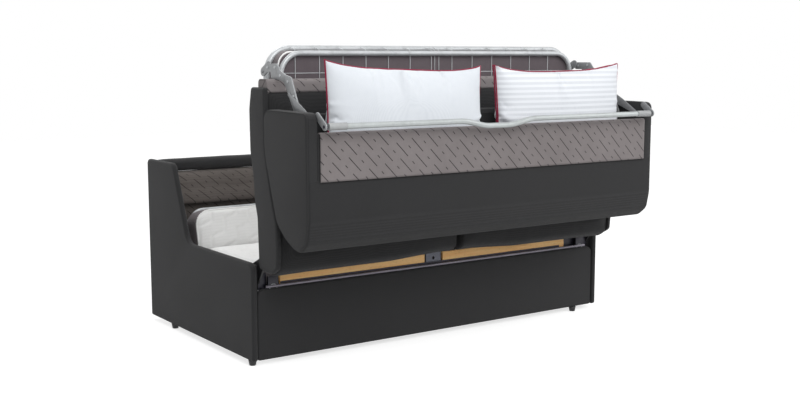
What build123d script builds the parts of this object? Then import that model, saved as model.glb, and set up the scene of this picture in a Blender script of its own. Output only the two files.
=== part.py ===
from build123d import *
import os

# A two-seat sofa bed, half way through opening: the seat and the backrest, folded on it, stand on
# end over the front of the base, with the foot part of the mattress behind them.
# Depths run to the back from the front of the arms, heights run up from the floor, and each side
# view is drawn with depth across and height up. The origin is on the floor, under the middle.

os.makedirs("parts", exist_ok=True)

# Fits
soft_gap = 0.3
running_gap = 0.05
slide_gap = 1

# Arms
outer_width = 1840
arm_thickness = 40
foot_height = 22
arm_front_height = 410
arm_rear_height = 741
arm_step_start = 520
arm_step_end = 612
arm_bottom_depth = 814
arm_top_depth = 986
arm_toe_radius = 8
arm_corner_radius = 34
arm_step_radius = 70
arm_shoulder_radius = 60
arm_rear_radius = 30
arm_edge_radius = 7

# Front panel and the rails that tie the arms
panel_recess = 6
panel_thickness = 18
panel_height = 306
panel_gap = 3
panel_edge_radius = 6
rail_thickness = 14
rail_bottom = 40
rail_height = 60

# Back panel
back_board_thickness = 10
lining_thickness = 2
lining_bottom = 340
back_pad_face = 60
back_pad_bottom = 566
back_pad_radius = 20
roll_rear = 996
roll_depth = 70
roll_height = 61
roll_radius = 26

# Feet
foot_radius = 17
foot_taper = 4
foot_front_depth = 43
foot_rear_depth = 780
panel_foot_inset = 96

# Torsion tube, boards and brackets behind the front panel
torsion_radius = 9
torsion_end_room = 28
angle_drop = 10
angle_wall = 2
angle_shelf = 14
board_front = 26
board_thickness = 12
board_height = 50
left_board_room = 18
right_board_room = 100
board_middle_ends = (-103, 0)
centre_bracket_span = (-98, -20)
centre_bracket_thickness = 4
centre_bracket_hole = 7
end_bracket_inset = 52
end_bracket_thickness = 5
end_bracket_spacing = 34
end_bracket_radius = 16
end_bracket_rise = 44
end_bracket_hole = 7

# Pivots of the seat unit
pivot_depth = -14
pivot_height = 416
pivot_radius = 8
pivot_boss_radius = 20
pivot_flange_radius = 14
pivot_flange_low = (40, 330)
pivot_flange_high = (70, 382)
pivot_plate_thickness = 7
seat_plate_thickness = 4
seat_plate_width = 24
seat_plate_top = 520

# Lift guides and their rollers
guide_front = 590
guide_slot = 32
guide_wall = 4
guide_flange = 5
guide_bottom = 30
guide_top = 560
roller_thickness = 4
roller_axle_radius = 6
roller_low = 270
roller_high = 320

# Tubes and nets
wire = 3
foot_hoop_radius = 12.5
bow_radius = 10
bed_tube_radius = 8
head_hoop_radius = 10
net_pitch_across = 128
net_pitch_up = 62

# Mattress
mattress_inset = 26
mattress_thickness = 110
mattress_corner_radius = 60
mattress_edge_radius = 24
closed_mattress_top = 150

# Middle and head of the bed
mid_front = 40
mid_rear = 650
mid_frame_room = 88
mid_frame_rear = 640
head_lean_share = 0.215
head_face_depth = 671
head_face_height = 367
head_bottom = 300
head_top = 540
head_thickness = 124
head_hoop_inset = 2
head_hoop_depth = 838
head_hoop_level = 447
head_hoop_bottom = 345
head_hoop_top = 508
head_hoop_corner = 70
side_bracket_thickness = 4
side_bracket_radius = 14

# Seat unit, standing on end
seat_side_room = 14
seat_front = 390
seat_board_front = -2
seat_board_thickness = 26
seat_board_bottom = 400
seat_board_top = 1083
seat_board_radius = 8
seat_cushion_face = -44
seat_cushion_edge = 10
seat_cushion_shoulder = 10
seat_cushion_crown = 18
seat_cushion_corner = 30
seat_cushion_draw = 3
seat_middle_gap = 2
bolster_width = 56
bolster_start = 560
bolster_knee = 640
bolster_knee_depth = 38
bolster_waist = 850
bolster_waist_depth = 64
bolster_crest = 1000
bolster_crest_depth = 68
bolster_end_depth = 50
bolster_radius = 18
band_thickness = 2.5
band_inset = 62
band_front = -40
band_drop = 34

# Foot of the bed, on its own tube frame behind the seat
foot_hoop_depth = 100
foot_hoop_inset = 4
foot_hoop_bottom = 580
foot_hoop_top = 1230
foot_hoop_corner = 100
bow_depth = 38
bow_inset = 28
bow_bottom = 600
bow_top = 1200
bow_corner = 90
foot_mattress_bottom = 590
foot_mattress_top = 1208
hook_start = 1196
guide_block_bottom = 740
guide_block_height = 46
guide_block_inset = 16.5
guide_block_radius = 6
corner_plate_thickness = 4
corner_plate_reach = 47
corner_plate_width = 34
corner_plate_height = 1140
corner_plate_rise = 24
corner_bolt_radius = 5

# Levers that carry the backrest
lever_inset = 46
lever_thickness = 8
lever_width = 38
lever_bend = 30
lever_shoulder = (30, 1132)
lever_elbow = (-188, 1112)
lever_knee = (-238, 1010)
lever_foot_thickness = 5
rivet_radius = 6
rivet_height = 2
hinge_pin_radius = 6
hinge_pin_reach = 20

# Backrest, folded on the seat
fold_plane = -46
hinge_inset = 57
back_top = 1008
back_low = 488
back_front = -377
back_swell_start = 690
back_swell_radius = 250
back_swell = (-128, 520)
back_belly_radius = 110
back_swell_foot = -227
back_foot_radius = 140
back_slope_gap = 12
back_nose_radius = 16
back_front_height = 946
back_shell_radius = 34
shell_thickness = 25
shell_lip_radius = 8
shell_top = 925
pocket_back = -190
pocket_board_thickness = 10
pocket_board_top = 970
back_cushion_inset = 19
back_cushion_round = 10
back_cushion_shoulder = 30
end_panel_inset = 30
end_panel_thickness = 33
end_panel_radius = 5
stay_thickness = 5
stay_radius = 9
stay_top = (-216, 1055)
stay_bottom = (-334, 944)

# Rail in front of the backrest
rail_depth = -404
rail_level = 960
rail_radius = 11
rail_spigot_radius = 6
rail_bracket_thickness = 5
rail_bracket_radius = 16
rail_bracket_gap = 2
rail_flange_thickness = 3
rail_flange_height = 46
rail_flange_width = 26
sleeve_radius = 13.5
sleeve_length = 74
dip_span = (-32, 262)
dip_depth = 22
dip_run = 40
dip_bend = 45

# Pillows
pillow_insets = (96, 91)
pillow_inner_ends = (-25, 30)
pillow_bottom = 765
pillow_top = 1165
pillow_corner = 46
pillow_draw = 9
pillow_edge = 52
pillow_side = 22
pillow_crown = 96
pillow_shoulder = 22

# Places worked out from the sizes above
arm_outer = outer_width / 2
arm_inner = arm_outer - arm_thickness
torsion_half_length = arm_inner - torsion_end_room
end_bracket_inner = torsion_half_length - end_bracket_inset
left_board_end = left_board_room - end_bracket_inner
board_span = (left_board_end, *board_middle_ends, end_bracket_inner - right_board_room)
mid_frame_half_width = arm_inner - mid_frame_room
mattress_half_width = mid_frame_half_width - mattress_inset
head_hoop_half_width = mid_frame_half_width - head_hoop_inset
foot_hoop_half_width = mid_frame_half_width - foot_hoop_inset
bow_half_width = foot_hoop_half_width - bow_inset
seat_half_width = arm_inner - seat_side_room
band_half_width = seat_half_width - band_inset
lever_inner = seat_half_width - lever_inset
end_panel_inner = seat_half_width - end_panel_inset
back_cushion_half_width = end_panel_inner - back_cushion_inset
rail_bracket_inner = end_panel_inner + rail_bracket_gap
pillow_spans = {
    "left": (pillow_insets[0] - end_panel_inner, pillow_inner_ends[0]),
    "right": (pillow_inner_ends[1], end_panel_inner - pillow_insets[1]),
}
middle_depth = (roll_rear + rail_depth - rail_bracket_radius) / 2
rake_share = (arm_top_depth - arm_bottom_depth) / (arm_rear_height - foot_height)
panel_inner = panel_recess + panel_thickness
lining_inset = back_board_thickness + lining_thickness
roll_bottom = arm_rear_height - roll_height
torsion_depth = panel_inner - torsion_radius - slide_gap
torsion_height = panel_height + torsion_radius
board_bottom = torsion_height + torsion_radius - angle_wall
mattress_face = bow_depth + bow_radius + wire + soft_gap
bed_face = mattress_face + mattress_thickness
open_mattress_top = pivot_height + bed_face - pivot_depth
mid_top = (open_mattress_top + closed_mattress_top) / 2
mid_bottom = mid_top - mattress_thickness
mid_frame_height = mid_bottom - bed_tube_radius
mid_frame_front = mid_front + bed_tube_radius
seat_board_back = seat_board_front + seat_board_thickness
hinge_depth = fold_plane - hinge_inset
hinge_height = back_top - hinge_inset
guide_middle = guide_front + guide_wall + guide_slot / 2
bracket_inner = mid_frame_half_width + bed_tube_radius
head_half_width = bracket_inner - soft_gap


def side_plane(x):
    return Plane(origin=(x, -middle_depth, 0), x_dir=(0, 1, 0), z_dir=(1, 0, 0))


def front_plane(depth):
    return Plane(origin=(0, depth - middle_depth, 0), x_dir=(1, 0, 0), z_dir=(0, -1, 0))


def level_plane(height):
    return Plane(origin=(0, -middle_depth, height), x_dir=(1, 0, 0), z_dir=(0, 0, 1))


def rake(height):
    # Depth of the leaning rear edge of the arms at a height
    return arm_bottom_depth + rake_share * (height - foot_height)


def spread(hand, inner, outer):
    # Left and right ends of a piece that lies between two distances from the middle
    return sorted((hand * inner, hand * outer))


def across(span, points, radius=None):
    # A piece with one side view all the way along a span of the width
    with BuildPart() as piece:
        with BuildSketch(side_plane(span[0])):
            with BuildLine():
                if radius is None:
                    Polyline(*points, close=True)
                else:
                    FilletPolyline(*points, radius=radius, close=True)
            make_face()
        extrude(amount=span[1] - span[0])
    return piece.part


def tube(plane, points, bend, radius):
    # A bent round tube along points of a plane
    with BuildPart() as piece:
        with BuildLine(plane) as path:
            FilletPolyline(*points, radius=bend)
        with BuildSketch(Plane(origin=path.line @ 0, z_dir=path.line % 0)):
            Circle(radius)
        sweep()
    return piece.part


def soft_outline(plane, span, low, high, inset, corner, draw):
    # A soft rectangle, with its sides drawn in between rounded corners
    left, right = span[0] + inset, span[1] - inset
    bottom, top = low + inset, high - inset
    middle_x, middle_y = (left + right) / 2, (bottom + top) / 2
    turn = corner * (1 - 0.5**0.5)
    with BuildSketch(plane) as outline:
        with BuildLine():
            ThreePointArc((left + corner, bottom), (middle_x, bottom + draw), (right - corner, bottom))
            ThreePointArc((right - corner, bottom), (right - turn, bottom + turn), (right, bottom + corner))
            ThreePointArc((right, bottom + corner), (right - draw, middle_y), (right, top - corner))
            ThreePointArc((right, top - corner), (right - turn, top - turn), (right - corner, top))
            ThreePointArc((right - corner, top), (middle_x, top - draw), (left + corner, top))
            ThreePointArc((left + corner, top), (left + turn, top - turn), (left, top - corner))
            ThreePointArc((left, top - corner), (left + draw, middle_y), (left, bottom + corner))
            ThreePointArc((left, bottom + corner), (left + turn, bottom + turn), (left + corner, bottom))
        make_face()
    return outline.sketch


def save(part, name):
    part.label = name
    export_step(part, f"parts/{name}.step")


hands = {"left": -1, "right": 1}

# Arms: one leaning board each, low beside the seat and high at the back
for side, hand in hands.items():
    with BuildPart() as arm:
        with BuildSketch(side_plane(spread(hand, arm_inner, arm_outer)[0])):
            with BuildLine():
                FilletPolyline(
                    (0, foot_height),
                    (0, arm_front_height),
                    (arm_step_start, arm_front_height),
                    (arm_step_end, arm_rear_height),
                    (arm_top_depth, arm_rear_height),
                    (arm_bottom_depth, foot_height),
                    radius=[
                        arm_toe_radius,
                        arm_corner_radius,
                        arm_step_radius,
                        arm_shoulder_radius,
                        arm_rear_radius,
                        arm_toe_radius,
                    ],
                    close=True,
                )
            make_face()
        extrude(amount=arm_thickness)
        outside = arm.faces().sort_by(Axis.X)[-1 if hand > 0 else 0]
        fillet(outside.edges(), radius=arm_edge_radius)
    save(arm.part, f"{side}_arm")

# Front panel, set back a little between the arms
with BuildPart() as front_panel:
    with BuildSketch(front_plane(panel_inner)):
        with Locations((0, (foot_height + panel_height) / 2)):
            Rectangle(2 * (arm_inner - panel_gap), panel_height - foot_height)
    extrude(amount=panel_thickness)
    front_edges = front_panel.faces().sort_by(Axis.Y)[0].edges()
    fillet(front_edges, radius=panel_edge_radius)
save(front_panel.part, "front_panel")

# Rails across the bottom, one behind the front panel and one along the back
inside_span = (-arm_inner, arm_inner)
rail_top = rail_bottom + rail_height
front_rail = across(
    inside_span,
    [
        (panel_inner, rail_bottom),
        (panel_inner + rail_thickness, rail_bottom),
        (panel_inner + rail_thickness, rail_top),
        (panel_inner, rail_top),
    ],
)
save(front_rail, "front_rail")
rear_low = rake(rail_bottom) - back_board_thickness
rear_high = rake(rail_top) - back_board_thickness
rear_rail = across(
    inside_span,
    [
        (rear_low, rail_bottom),
        (rear_high, rail_top),
        (rear_high - rail_thickness, rail_top),
        (rear_low - rail_thickness, rail_bottom),
    ],
)
save(rear_rail, "rear_rail")


def raked_slab(span, low, high, outer_inset, inner_inset):
    # A slab that leans with the rear edge, between two distances in from it
    return across(
        span,
        [
            (rake(low) - outer_inset, low),
            (rake(high) - outer_inset, high),
            (rake(high) - inner_inset, high),
            (rake(low) - inner_inset, low),
        ],
    )


# Back panel: a leaning board, its lining, a pad above the bed and a dark roll along the top
back_board = raked_slab(inside_span, foot_height, roll_bottom, 0, back_board_thickness)
save(back_board, "back_panel")
back_lining = raked_slab(inside_span, lining_bottom, roll_bottom, back_board_thickness, lining_inset)
save(back_lining, "back_lining")
with BuildPart() as back_pad:
    with BuildSketch(side_plane(soft_gap - arm_inner)):
        with BuildLine():
            FilletPolyline(
                (rake(back_pad_bottom) - lining_inset, back_pad_bottom),
                (rake(back_pad_bottom) - back_pad_face, back_pad_bottom),
                (rake(roll_bottom) - back_pad_face, roll_bottom),
                (rake(roll_bottom) - lining_inset, roll_bottom),
                radius=[arm_toe_radius, back_pad_radius, arm_toe_radius, arm_toe_radius],
                close=True,
            )
        make_face()
    extrude(amount=2 * (arm_inner - soft_gap))
save(back_pad.part, "back_pad")
with BuildPart() as back_roll:
    with BuildSketch(side_plane(-arm_inner)):
        with Locations((roll_rear - roll_depth / 2, arm_rear_height - roll_height / 2)):
            RectangleRounded(roll_depth, roll_height, roll_radius)
    extrude(amount=2 * arm_inner)
save(back_roll.part, "back_top_roll")

# Six short tapered feet, four under the arms and two under the front panel
arm_foot_x = arm_outer - arm_thickness / 2
foot_places = [(hand * arm_foot_x, foot_front_depth) for hand in hands.values()]
foot_places += [(hand * arm_foot_x, foot_rear_depth) for hand in hands.values()]
panel_foot_depth = panel_recess + panel_thickness / 2
foot_places += [(hand * (arm_inner - panel_foot_inset), panel_foot_depth) for hand in hands.values()]
with BuildPart() as feet:
    for place in foot_places:
        with BuildSketch(level_plane(0)):
            with Locations(place):
                Circle(foot_radius - foot_taper)
        with BuildSketch(level_plane(foot_height)):
            with Locations(place):
                Circle(foot_radius)
        loft()
save(feet.part, "feet")

# Tube of the lifting springs, lying on the front panel between two pairs of black plates
with BuildPart() as torsion_tube:
    with BuildSketch(side_plane(-torsion_half_length)):
        with Locations((torsion_depth, torsion_height)):
            Circle(torsion_radius)
    extrude(amount=2 * torsion_half_length)
save(torsion_tube.part, "torsion_tube")

for side, hand in hands.items():
    with BuildPart() as end_bracket:
        for step in (0, end_bracket_spacing):
            inner = end_bracket_inner + step
            with BuildSketch(side_plane(spread(hand, inner, inner + end_bracket_thickness)[0])):
                with BuildLine():
                    FilletPolyline(
                        (torsion_depth - end_bracket_radius, panel_height),
                        (torsion_depth - end_bracket_radius, panel_height + end_bracket_rise),
                        (torsion_depth + end_bracket_radius, panel_height + end_bracket_rise),
                        (torsion_depth + end_bracket_radius, panel_height),
                        radius=[
                            angle_wall,
                            end_bracket_radius - angle_wall,
                            end_bracket_radius - angle_wall,
                            angle_wall,
                        ],
                        close=True,
                    )
                make_face()
                with Locations((torsion_depth, torsion_height)):
                    Circle(torsion_radius + running_gap, mode=Mode.SUBTRACT)
                with Locations((torsion_depth, panel_height + end_bracket_rise - end_bracket_radius)):
                    Circle(end_bracket_hole, mode=Mode.SUBTRACT)
            extrude(amount=end_bracket_thickness)
    save(end_bracket.part, f"{side}_end_bracket")

# Dark angle bar on the back of the front panel, and what stands on its shelf
angle_bar = across(
    (board_span[0], board_span[-1]),
    [
        (panel_inner, panel_height - angle_drop),
        (panel_inner + angle_wall, panel_height - angle_drop),
        (panel_inner + angle_wall, board_bottom - angle_wall),
        (panel_inner + angle_shelf, board_bottom - angle_wall),
        (panel_inner + angle_shelf, board_bottom),
        (panel_inner, board_bottom),
    ],
)
save(angle_bar, "angle_bar")
board_ends = {"left": board_span[:2], "right": board_span[2:]}
for side, (start, end) in board_ends.items():
    with BuildPart() as board:
        with BuildSketch(front_plane(board_front + board_thickness)):
            with Locations(((start + end) / 2, board_bottom + board_height / 2)):
                Rectangle(end - start, board_height)
        extrude(amount=board_thickness)
        top_edges = board.faces().sort_by(Axis.Z)[-1].edges().filter_by(Axis.X)
        fillet(top_edges, radius=angle_wall)
    save(board.part, f"{side}_front_board")
with BuildPart() as centre_bracket:
    start, end = centre_bracket_span
    with BuildSketch(front_plane(board_front + centre_bracket_thickness)):
        with Locations(((start + end) / 2, board_bottom + board_height / 2)):
            Rectangle(end - start, board_height)
            Circle(centre_bracket_hole, mode=Mode.SUBTRACT)
    extrude(amount=centre_bracket_thickness)
save(centre_bracket.part, "centre_bracket")

# Pivot plates on the arms, each with the pin that the seat unit turns on
for side, hand in hands.items():
    with BuildPart() as pivot:
        outer_span = spread(hand, arm_inner - pivot_plate_thickness, arm_inner)
        with BuildSketch(side_plane(outer_span[0])):
            with Locations((pivot_depth, pivot_height)):
                Circle(pivot_boss_radius)
            with Locations(pivot_flange_low, pivot_flange_high):
                Circle(pivot_flange_radius)
            make_hull()
        extrude(amount=pivot_plate_thickness)
        pin_span = spread(hand, seat_half_width, arm_inner)
        with BuildSketch(side_plane(pin_span[0])):
            with Locations((pivot_depth, pivot_height)):
                Circle(pivot_radius)
        extrude(amount=pin_span[1] - pin_span[0])
    save(pivot.part, f"{side}_pivot_plate")

# Upright channels on the arms, which guide the rollers of the bed
guide_rear = guide_front + guide_slot + 2 * guide_wall
for side, hand in hands.items():
    with BuildPart() as guide:
        web = arm_inner - guide_wall
        lip = web - guide_flange
        with BuildSketch(level_plane(guide_bottom)):
            with BuildLine():
                Polyline(
                    (hand * arm_inner, guide_front),
                    (hand * lip, guide_front),
                    (hand * lip, guide_front + guide_wall),
                    (hand * web, guide_front + guide_wall),
                    (hand * web, guide_rear - guide_wall),
                    (hand * lip, guide_rear - guide_wall),
                    (hand * lip, guide_rear),
                    (hand * arm_inner, guide_rear),
                    close=True,
                )
            make_face()
        extrude(amount=guide_top - guide_bottom)
    save(guide.part, f"{side}_lift_guide")

# Middle of the mattress on its tube frame and net
with BuildPart() as mid_mattress:
    with BuildSketch(level_plane(mid_bottom)):
        with Locations((0, (mid_front + mid_rear) / 2)):
            RectangleRounded(2 * mattress_half_width, mid_rear - mid_front, mattress_edge_radius)
    extrude(amount=mattress_thickness)
    rims = mid_mattress.faces().filter_by(Axis.Z).edges()
    fillet(rims, radius=mattress_edge_radius)
save(mid_mattress.part, "mid_mattress")
with BuildPart() as mid_frame:
    with BuildLine(level_plane(mid_frame_height)) as frame_path:
        FilletPolyline(
            (mid_frame_half_width, mid_frame_front),
            (mid_frame_half_width, mid_frame_rear),
            (-mid_frame_half_width, mid_frame_rear),
            (-mid_frame_half_width, mid_frame_front),
            radius=mattress_corner_radius,
            close=True,
        )
    with BuildSketch(Plane(origin=frame_path.line @ 0, z_dir=frame_path.line % 0)):
        Circle(bed_tube_radius)
    sweep()
save(mid_frame.part, "mid_frame")


def net(plane, width, low, high):
    # A flat net of crossing wires, as one sheet with a hole for each gap
    columns = round(width / net_pitch_across)
    rows = round((high - low) / net_pitch_up)
    pitch_x, pitch_y = (width - wire) / columns, (high - low - wire) / rows
    with BuildPart() as piece:
        with BuildSketch(plane):
            with Locations((0, (low + high) / 2)):
                Rectangle(width, high - low)
                with GridLocations(pitch_x, pitch_y, columns, rows):
                    Rectangle(pitch_x - wire, pitch_y - wire, mode=Mode.SUBTRACT)
        extrude(amount=wire)
    return piece.part


mid_net_reach = bed_tube_radius + mattress_corner_radius * (1 - 0.5**0.5)
mid_net = net(
    level_plane(mid_bottom - wire),
    2 * (mid_frame_half_width - mid_net_reach),
    mid_frame_front + mid_net_reach,
    mid_frame_rear - mid_net_reach,
)
save(mid_net, "mid_net")

# Head of the mattress, leaning on the back, with a tube hoop behind it
head_foot = head_face_depth - head_lean_share * (head_face_height - head_bottom)
head_length = (head_top - head_bottom) * (1 + head_lean_share**2) ** 0.5
lean_plane = Plane(
    origin=(0, head_foot - middle_depth, head_bottom),
    x_dir=(1, 0, 0),
    z_dir=(0, 1, -head_lean_share),
)
with BuildPart() as head_mattress:
    with BuildSketch(lean_plane):
        with Locations((0, -head_length / 2)):
            RectangleRounded(2 * head_half_width, head_length, mattress_edge_radius)
    extrude(amount=head_thickness)
    rims = head_mattress.faces().filter_by(Axis(origin=(0, 0, 0), direction=lean_plane.z_dir)).edges()
    fillet(rims, radius=mattress_edge_radius)
save(head_mattress.part, "head_mattress")
hoop_origin = head_hoop_depth - rake_share * head_hoop_level
hoop_plane = Plane(
    origin=(0, hoop_origin - middle_depth, 0),
    x_dir=(1, 0, 0),
    z_dir=(0, -1, rake_share),
)
hoop_stretch = (1 + rake_share**2) ** 0.5
head_hoop = tube(
    hoop_plane,
    [
        (-head_hoop_half_width, head_hoop_bottom * hoop_stretch),
        (-head_hoop_half_width, head_hoop_top * hoop_stretch),
        (head_hoop_half_width, head_hoop_top * hoop_stretch),
        (head_hoop_half_width, head_hoop_bottom * hoop_stretch),
    ],
    head_hoop_corner,
    head_hoop_radius,
)
save(head_hoop, "head_hoop")

# Side brackets that join the frame, the head hoop and the two rollers of each side
frame_seat_depth = mid_frame_rear - mattress_corner_radius - side_bracket_radius
hoop_foot_depth = hoop_origin + rake_share * head_hoop_bottom
for side, hand in hands.items():
    with BuildPart() as bracket:
        plate = spread(hand, bracket_inner, bracket_inner + side_bracket_thickness)
        with BuildSketch(side_plane(plate[0])):
            with Locations((frame_seat_depth, mid_frame_height), (guide_middle, roller_high)):
                Circle(side_bracket_radius)
            with Locations((hoop_foot_depth, head_hoop_bottom + side_bracket_radius)):
                Circle(side_bracket_radius)
            make_hull()
        extrude(amount=side_bracket_thickness)
        disc_outer = arm_inner - guide_wall - slide_gap / 2
        disc = spread(hand, disc_outer - roller_thickness, disc_outer)
        axle = spread(hand, bracket_inner + side_bracket_thickness, disc_outer)
        with BuildSketch(side_plane(axle[0])):
            with Locations((guide_middle, roller_low), (guide_middle, roller_high)):
                Circle(roller_axle_radius)
        extrude(amount=axle[1] - axle[0])
        with BuildSketch(side_plane(disc[0])):
            with Locations((guide_middle, roller_low), (guide_middle, roller_high)):
                Circle(guide_slot / 2 - running_gap)
        extrude(amount=roller_thickness)
    save(bracket.part, f"{side}_roller_bracket")

# Seat board with its side pads and plates that turn on the pivot pins
seat_board = across(
    (-seat_half_width, seat_half_width),
    [
        (seat_board_front, seat_board_bottom),
        (seat_board_back, seat_board_bottom),
        (seat_board_back, seat_board_top),
        (seat_board_front, seat_board_top),
    ],
    seat_board_radius,
)
save(seat_board, "seat_board")
for side, hand in hands.items():
    pad_span = spread(hand, seat_half_width - bolster_width, seat_half_width)
    side_pad = across(
        pad_span,
        [
            (seat_board_back, bolster_start),
            (bolster_knee_depth, bolster_knee),
            (bolster_waist_depth, bolster_waist),
            (bolster_crest_depth, bolster_crest),
            (bolster_end_depth, seat_board_top),
            (seat_board_back, seat_board_top),
        ],
        [angle_wall, bolster_radius, bolster_radius, bolster_radius, angle_wall, angle_wall],
    )
    save(side_pad, f"{side}_seat_side_pad")
    with BuildPart() as seat_plate:
        plate = spread(hand, seat_half_width, seat_half_width + seat_plate_thickness)
        with BuildSketch(side_plane(plate[0])):
            with Locations((pivot_depth, pivot_height)):
                Circle(pivot_boss_radius)
            with Locations((seat_board_front + seat_plate_width / 2, seat_plate_top)):
                Circle(seat_plate_width / 2)
            make_hull()
            with Locations((pivot_depth, pivot_height)):
                Circle(pivot_radius + running_gap, mode=Mode.SUBTRACT)
        extrude(amount=seat_plate_thickness)
    save(seat_plate.part, f"{side}_seat_plate")

# Two seat cushions, crowned towards the fold
cushion_back = seat_board_front - soft_gap
cushion_sections = [
    (cushion_back, seat_cushion_edge),
    (cushion_back - seat_cushion_shoulder, 0),
    (seat_cushion_face + seat_cushion_shoulder, 0),
    (seat_cushion_face, seat_cushion_crown),
]
for side, hand in hands.items():
    span = spread(hand, seat_middle_gap / 2, seat_half_width)
    with BuildPart() as seat_cushion:
        for depth, inset in cushion_sections:
            add(
                soft_outline(
                    front_plane(depth),
                    span,
                    seat_front,
                    seat_board_top,
                    inset,
                    seat_cushion_corner,
                    seat_cushion_draw,
                )
            )
        loft(ruled=True)
    save(seat_cushion.part, f"{side}_seat_cushion")

# Band of lining over the rear edge of the seat
band_top = seat_board_top + soft_gap
rear_band = across(
    (-band_half_width, band_half_width),
    [
        (band_front, band_top),
        (seat_board_back, band_top),
        (seat_board_back, seat_board_top - band_drop),
        (seat_board_back + band_thickness, seat_board_top - band_drop),
        (seat_board_back + band_thickness, band_top + band_thickness),
        (band_front, band_top + band_thickness),
    ],
)
save(rear_band, "seat_rear_band")

# Blocks behind the seat board, in which the legs of the foot hoop slide
for side, hand in hands.items():
    with BuildPart() as guide_block:
        block_rear = foot_hoop_depth + guide_block_inset
        with BuildSketch(level_plane(guide_block_bottom)):
            with Locations((hand * foot_hoop_half_width, (seat_board_back + block_rear) / 2)):
                RectangleRounded(2 * guide_block_inset, block_rear - seat_board_back, guide_block_radius)
            with Locations((hand * foot_hoop_half_width, foot_hoop_depth)):
                Circle(foot_hoop_radius + running_gap, mode=Mode.SUBTRACT)
        extrude(amount=guide_block_height)
    save(guide_block.part, f"{side}_guide_block")

# Levers from the rear edge of the seat, over the fold, to the hinge of the backrest
with BuildLine(Plane.XY) as lever_line:
    FilletPolyline(
        (lever_shoulder[0], seat_board_top + lever_width / 2),
        lever_shoulder,
        lever_elbow,
        lever_knee,
        (hinge_depth, hinge_height),
        radius=[lever_bend / 2, lever_bend, lever_bend],
    )
for side, hand in hands.items():
    with BuildPart() as lever:
        plate = spread(hand, lever_inner, lever_inner + lever_thickness)
        with BuildSketch(side_plane(plate[0])):
            SlotArc(arc=lever_line.wire(), height=lever_width)
        extrude(amount=lever_thickness)
        rivets = spread(hand, lever_inner + lever_thickness, lever_inner + lever_thickness + rivet_height)
        with BuildSketch(side_plane(rivets[0])):
            with Locations(lever_shoulder, lever_elbow, stay_top):
                Circle(rivet_radius)
        extrude(amount=rivet_height)
        pin = spread(hand, lever_inner, end_panel_inner + hinge_pin_reach)
        with BuildSketch(side_plane(pin[0])):
            with Locations((hinge_depth, hinge_height)):
                Circle(hinge_pin_radius)
        extrude(amount=pin[1] - pin[0])
        foot_span = spread(hand, seat_half_width - bolster_width, seat_half_width)
        foot_middle = (seat_board_back + bolster_end_depth) / 2
        with BuildSketch(level_plane(seat_board_top)):
            with Locations((sum(foot_span) / 2, foot_middle)):
                Rectangle(bolster_width, bolster_end_depth - seat_board_back)
        extrude(amount=lever_foot_thickness)
    save(lever.part, f"{side}_lever")

# Foot of the mattress with its hoop, bow and net
with BuildPart() as foot_mattress:
    with BuildSketch(front_plane(bed_face)):
        with Locations((0, (foot_mattress_bottom + foot_mattress_top) / 2)):
            RectangleRounded(
                2 * mattress_half_width,
                foot_mattress_top - foot_mattress_bottom,
                mattress_corner_radius,
            )
    extrude(amount=mattress_thickness)
    rims = foot_mattress.faces().filter_by(Axis.Y).edges()
    fillet(rims, radius=mattress_edge_radius)
save(foot_mattress.part, "foot_mattress")
foot_hoop = tube(
    front_plane(foot_hoop_depth),
    [
        (-foot_hoop_half_width, foot_hoop_bottom),
        (-foot_hoop_half_width, foot_hoop_top),
        (foot_hoop_half_width, foot_hoop_top),
        (foot_hoop_half_width, foot_hoop_bottom),
    ],
    foot_hoop_corner,
    foot_hoop_radius,
)
save(foot_hoop, "foot_hoop")
foot_bow = tube(
    front_plane(bow_depth),
    [
        (-bow_half_width, bow_bottom),
        (-bow_half_width, bow_top),
        (bow_half_width, bow_top),
        (bow_half_width, bow_bottom),
    ],
    bow_corner,
    bow_radius,
)
save(foot_bow, "foot_bow")
net_rear = bow_depth + bow_radius + wire
foot_net = net(
    front_plane(net_rear),
    2 * (bow_half_width - bow_radius),
    bow_bottom,
    hook_start,
)
save(foot_net, "foot_net")

# Ends of the upright wires, bent over the bow to the hoop behind it
with BuildPart() as hooks:
    hook_columns = round(2 * (bow_half_width - bow_radius) / net_pitch_across)
    hook_pitch = (2 * (bow_half_width - bow_radius) - wire) / hook_columns
    hook_front = bow_depth + bow_radius
    hook_rear = foot_hoop_depth - foot_hoop_radius
    for column in range(hook_columns + 1):
        hook_x = (column - hook_columns / 2) * hook_pitch
        with BuildSketch(side_plane(hook_x - wire / 2)):
            with BuildLine():
                Polyline(
                    (hook_front, hook_start),
                    (hook_front, bow_top + bow_radius + wire),
                    (hook_rear, foot_hoop_top),
                    (hook_rear, foot_hoop_top - wire),
                    (hook_front + wire, bow_top + bow_radius),
                    (hook_front + wire, hook_start),
                    close=True,
                )
            make_face()
        extrude(amount=wire)
save(hooks.part, "net_hooks")

# Plates with two bolts on the top corners of the foot hoop
with BuildPart() as corner_plates:
    for hand in hands.values():
        plate_inner = foot_hoop_half_width + foot_hoop_radius
        plate = spread(hand, plate_inner, plate_inner + corner_plate_thickness)
        front_bolt = (foot_hoop_depth - corner_plate_reach, corner_plate_height + corner_plate_rise)
        rear_bolt = (foot_hoop_depth, corner_plate_height)
        with BuildSketch(side_plane(plate[0])):
            with Locations(front_bolt, rear_bolt):
                Circle(corner_plate_width / 2)
            make_hull()
        extrude(amount=corner_plate_thickness)
        bolt_inner = plate_inner + corner_plate_thickness
        bolt = spread(hand, bolt_inner, bolt_inner + corner_plate_thickness)
        with BuildSketch(side_plane(bolt[0])):
            with Locations(front_bolt, rear_bolt):
                RegularPolygon(corner_bolt_radius, 6)
        extrude(amount=corner_plate_thickness)
save(corner_plates.part, "corner_plates")

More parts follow.
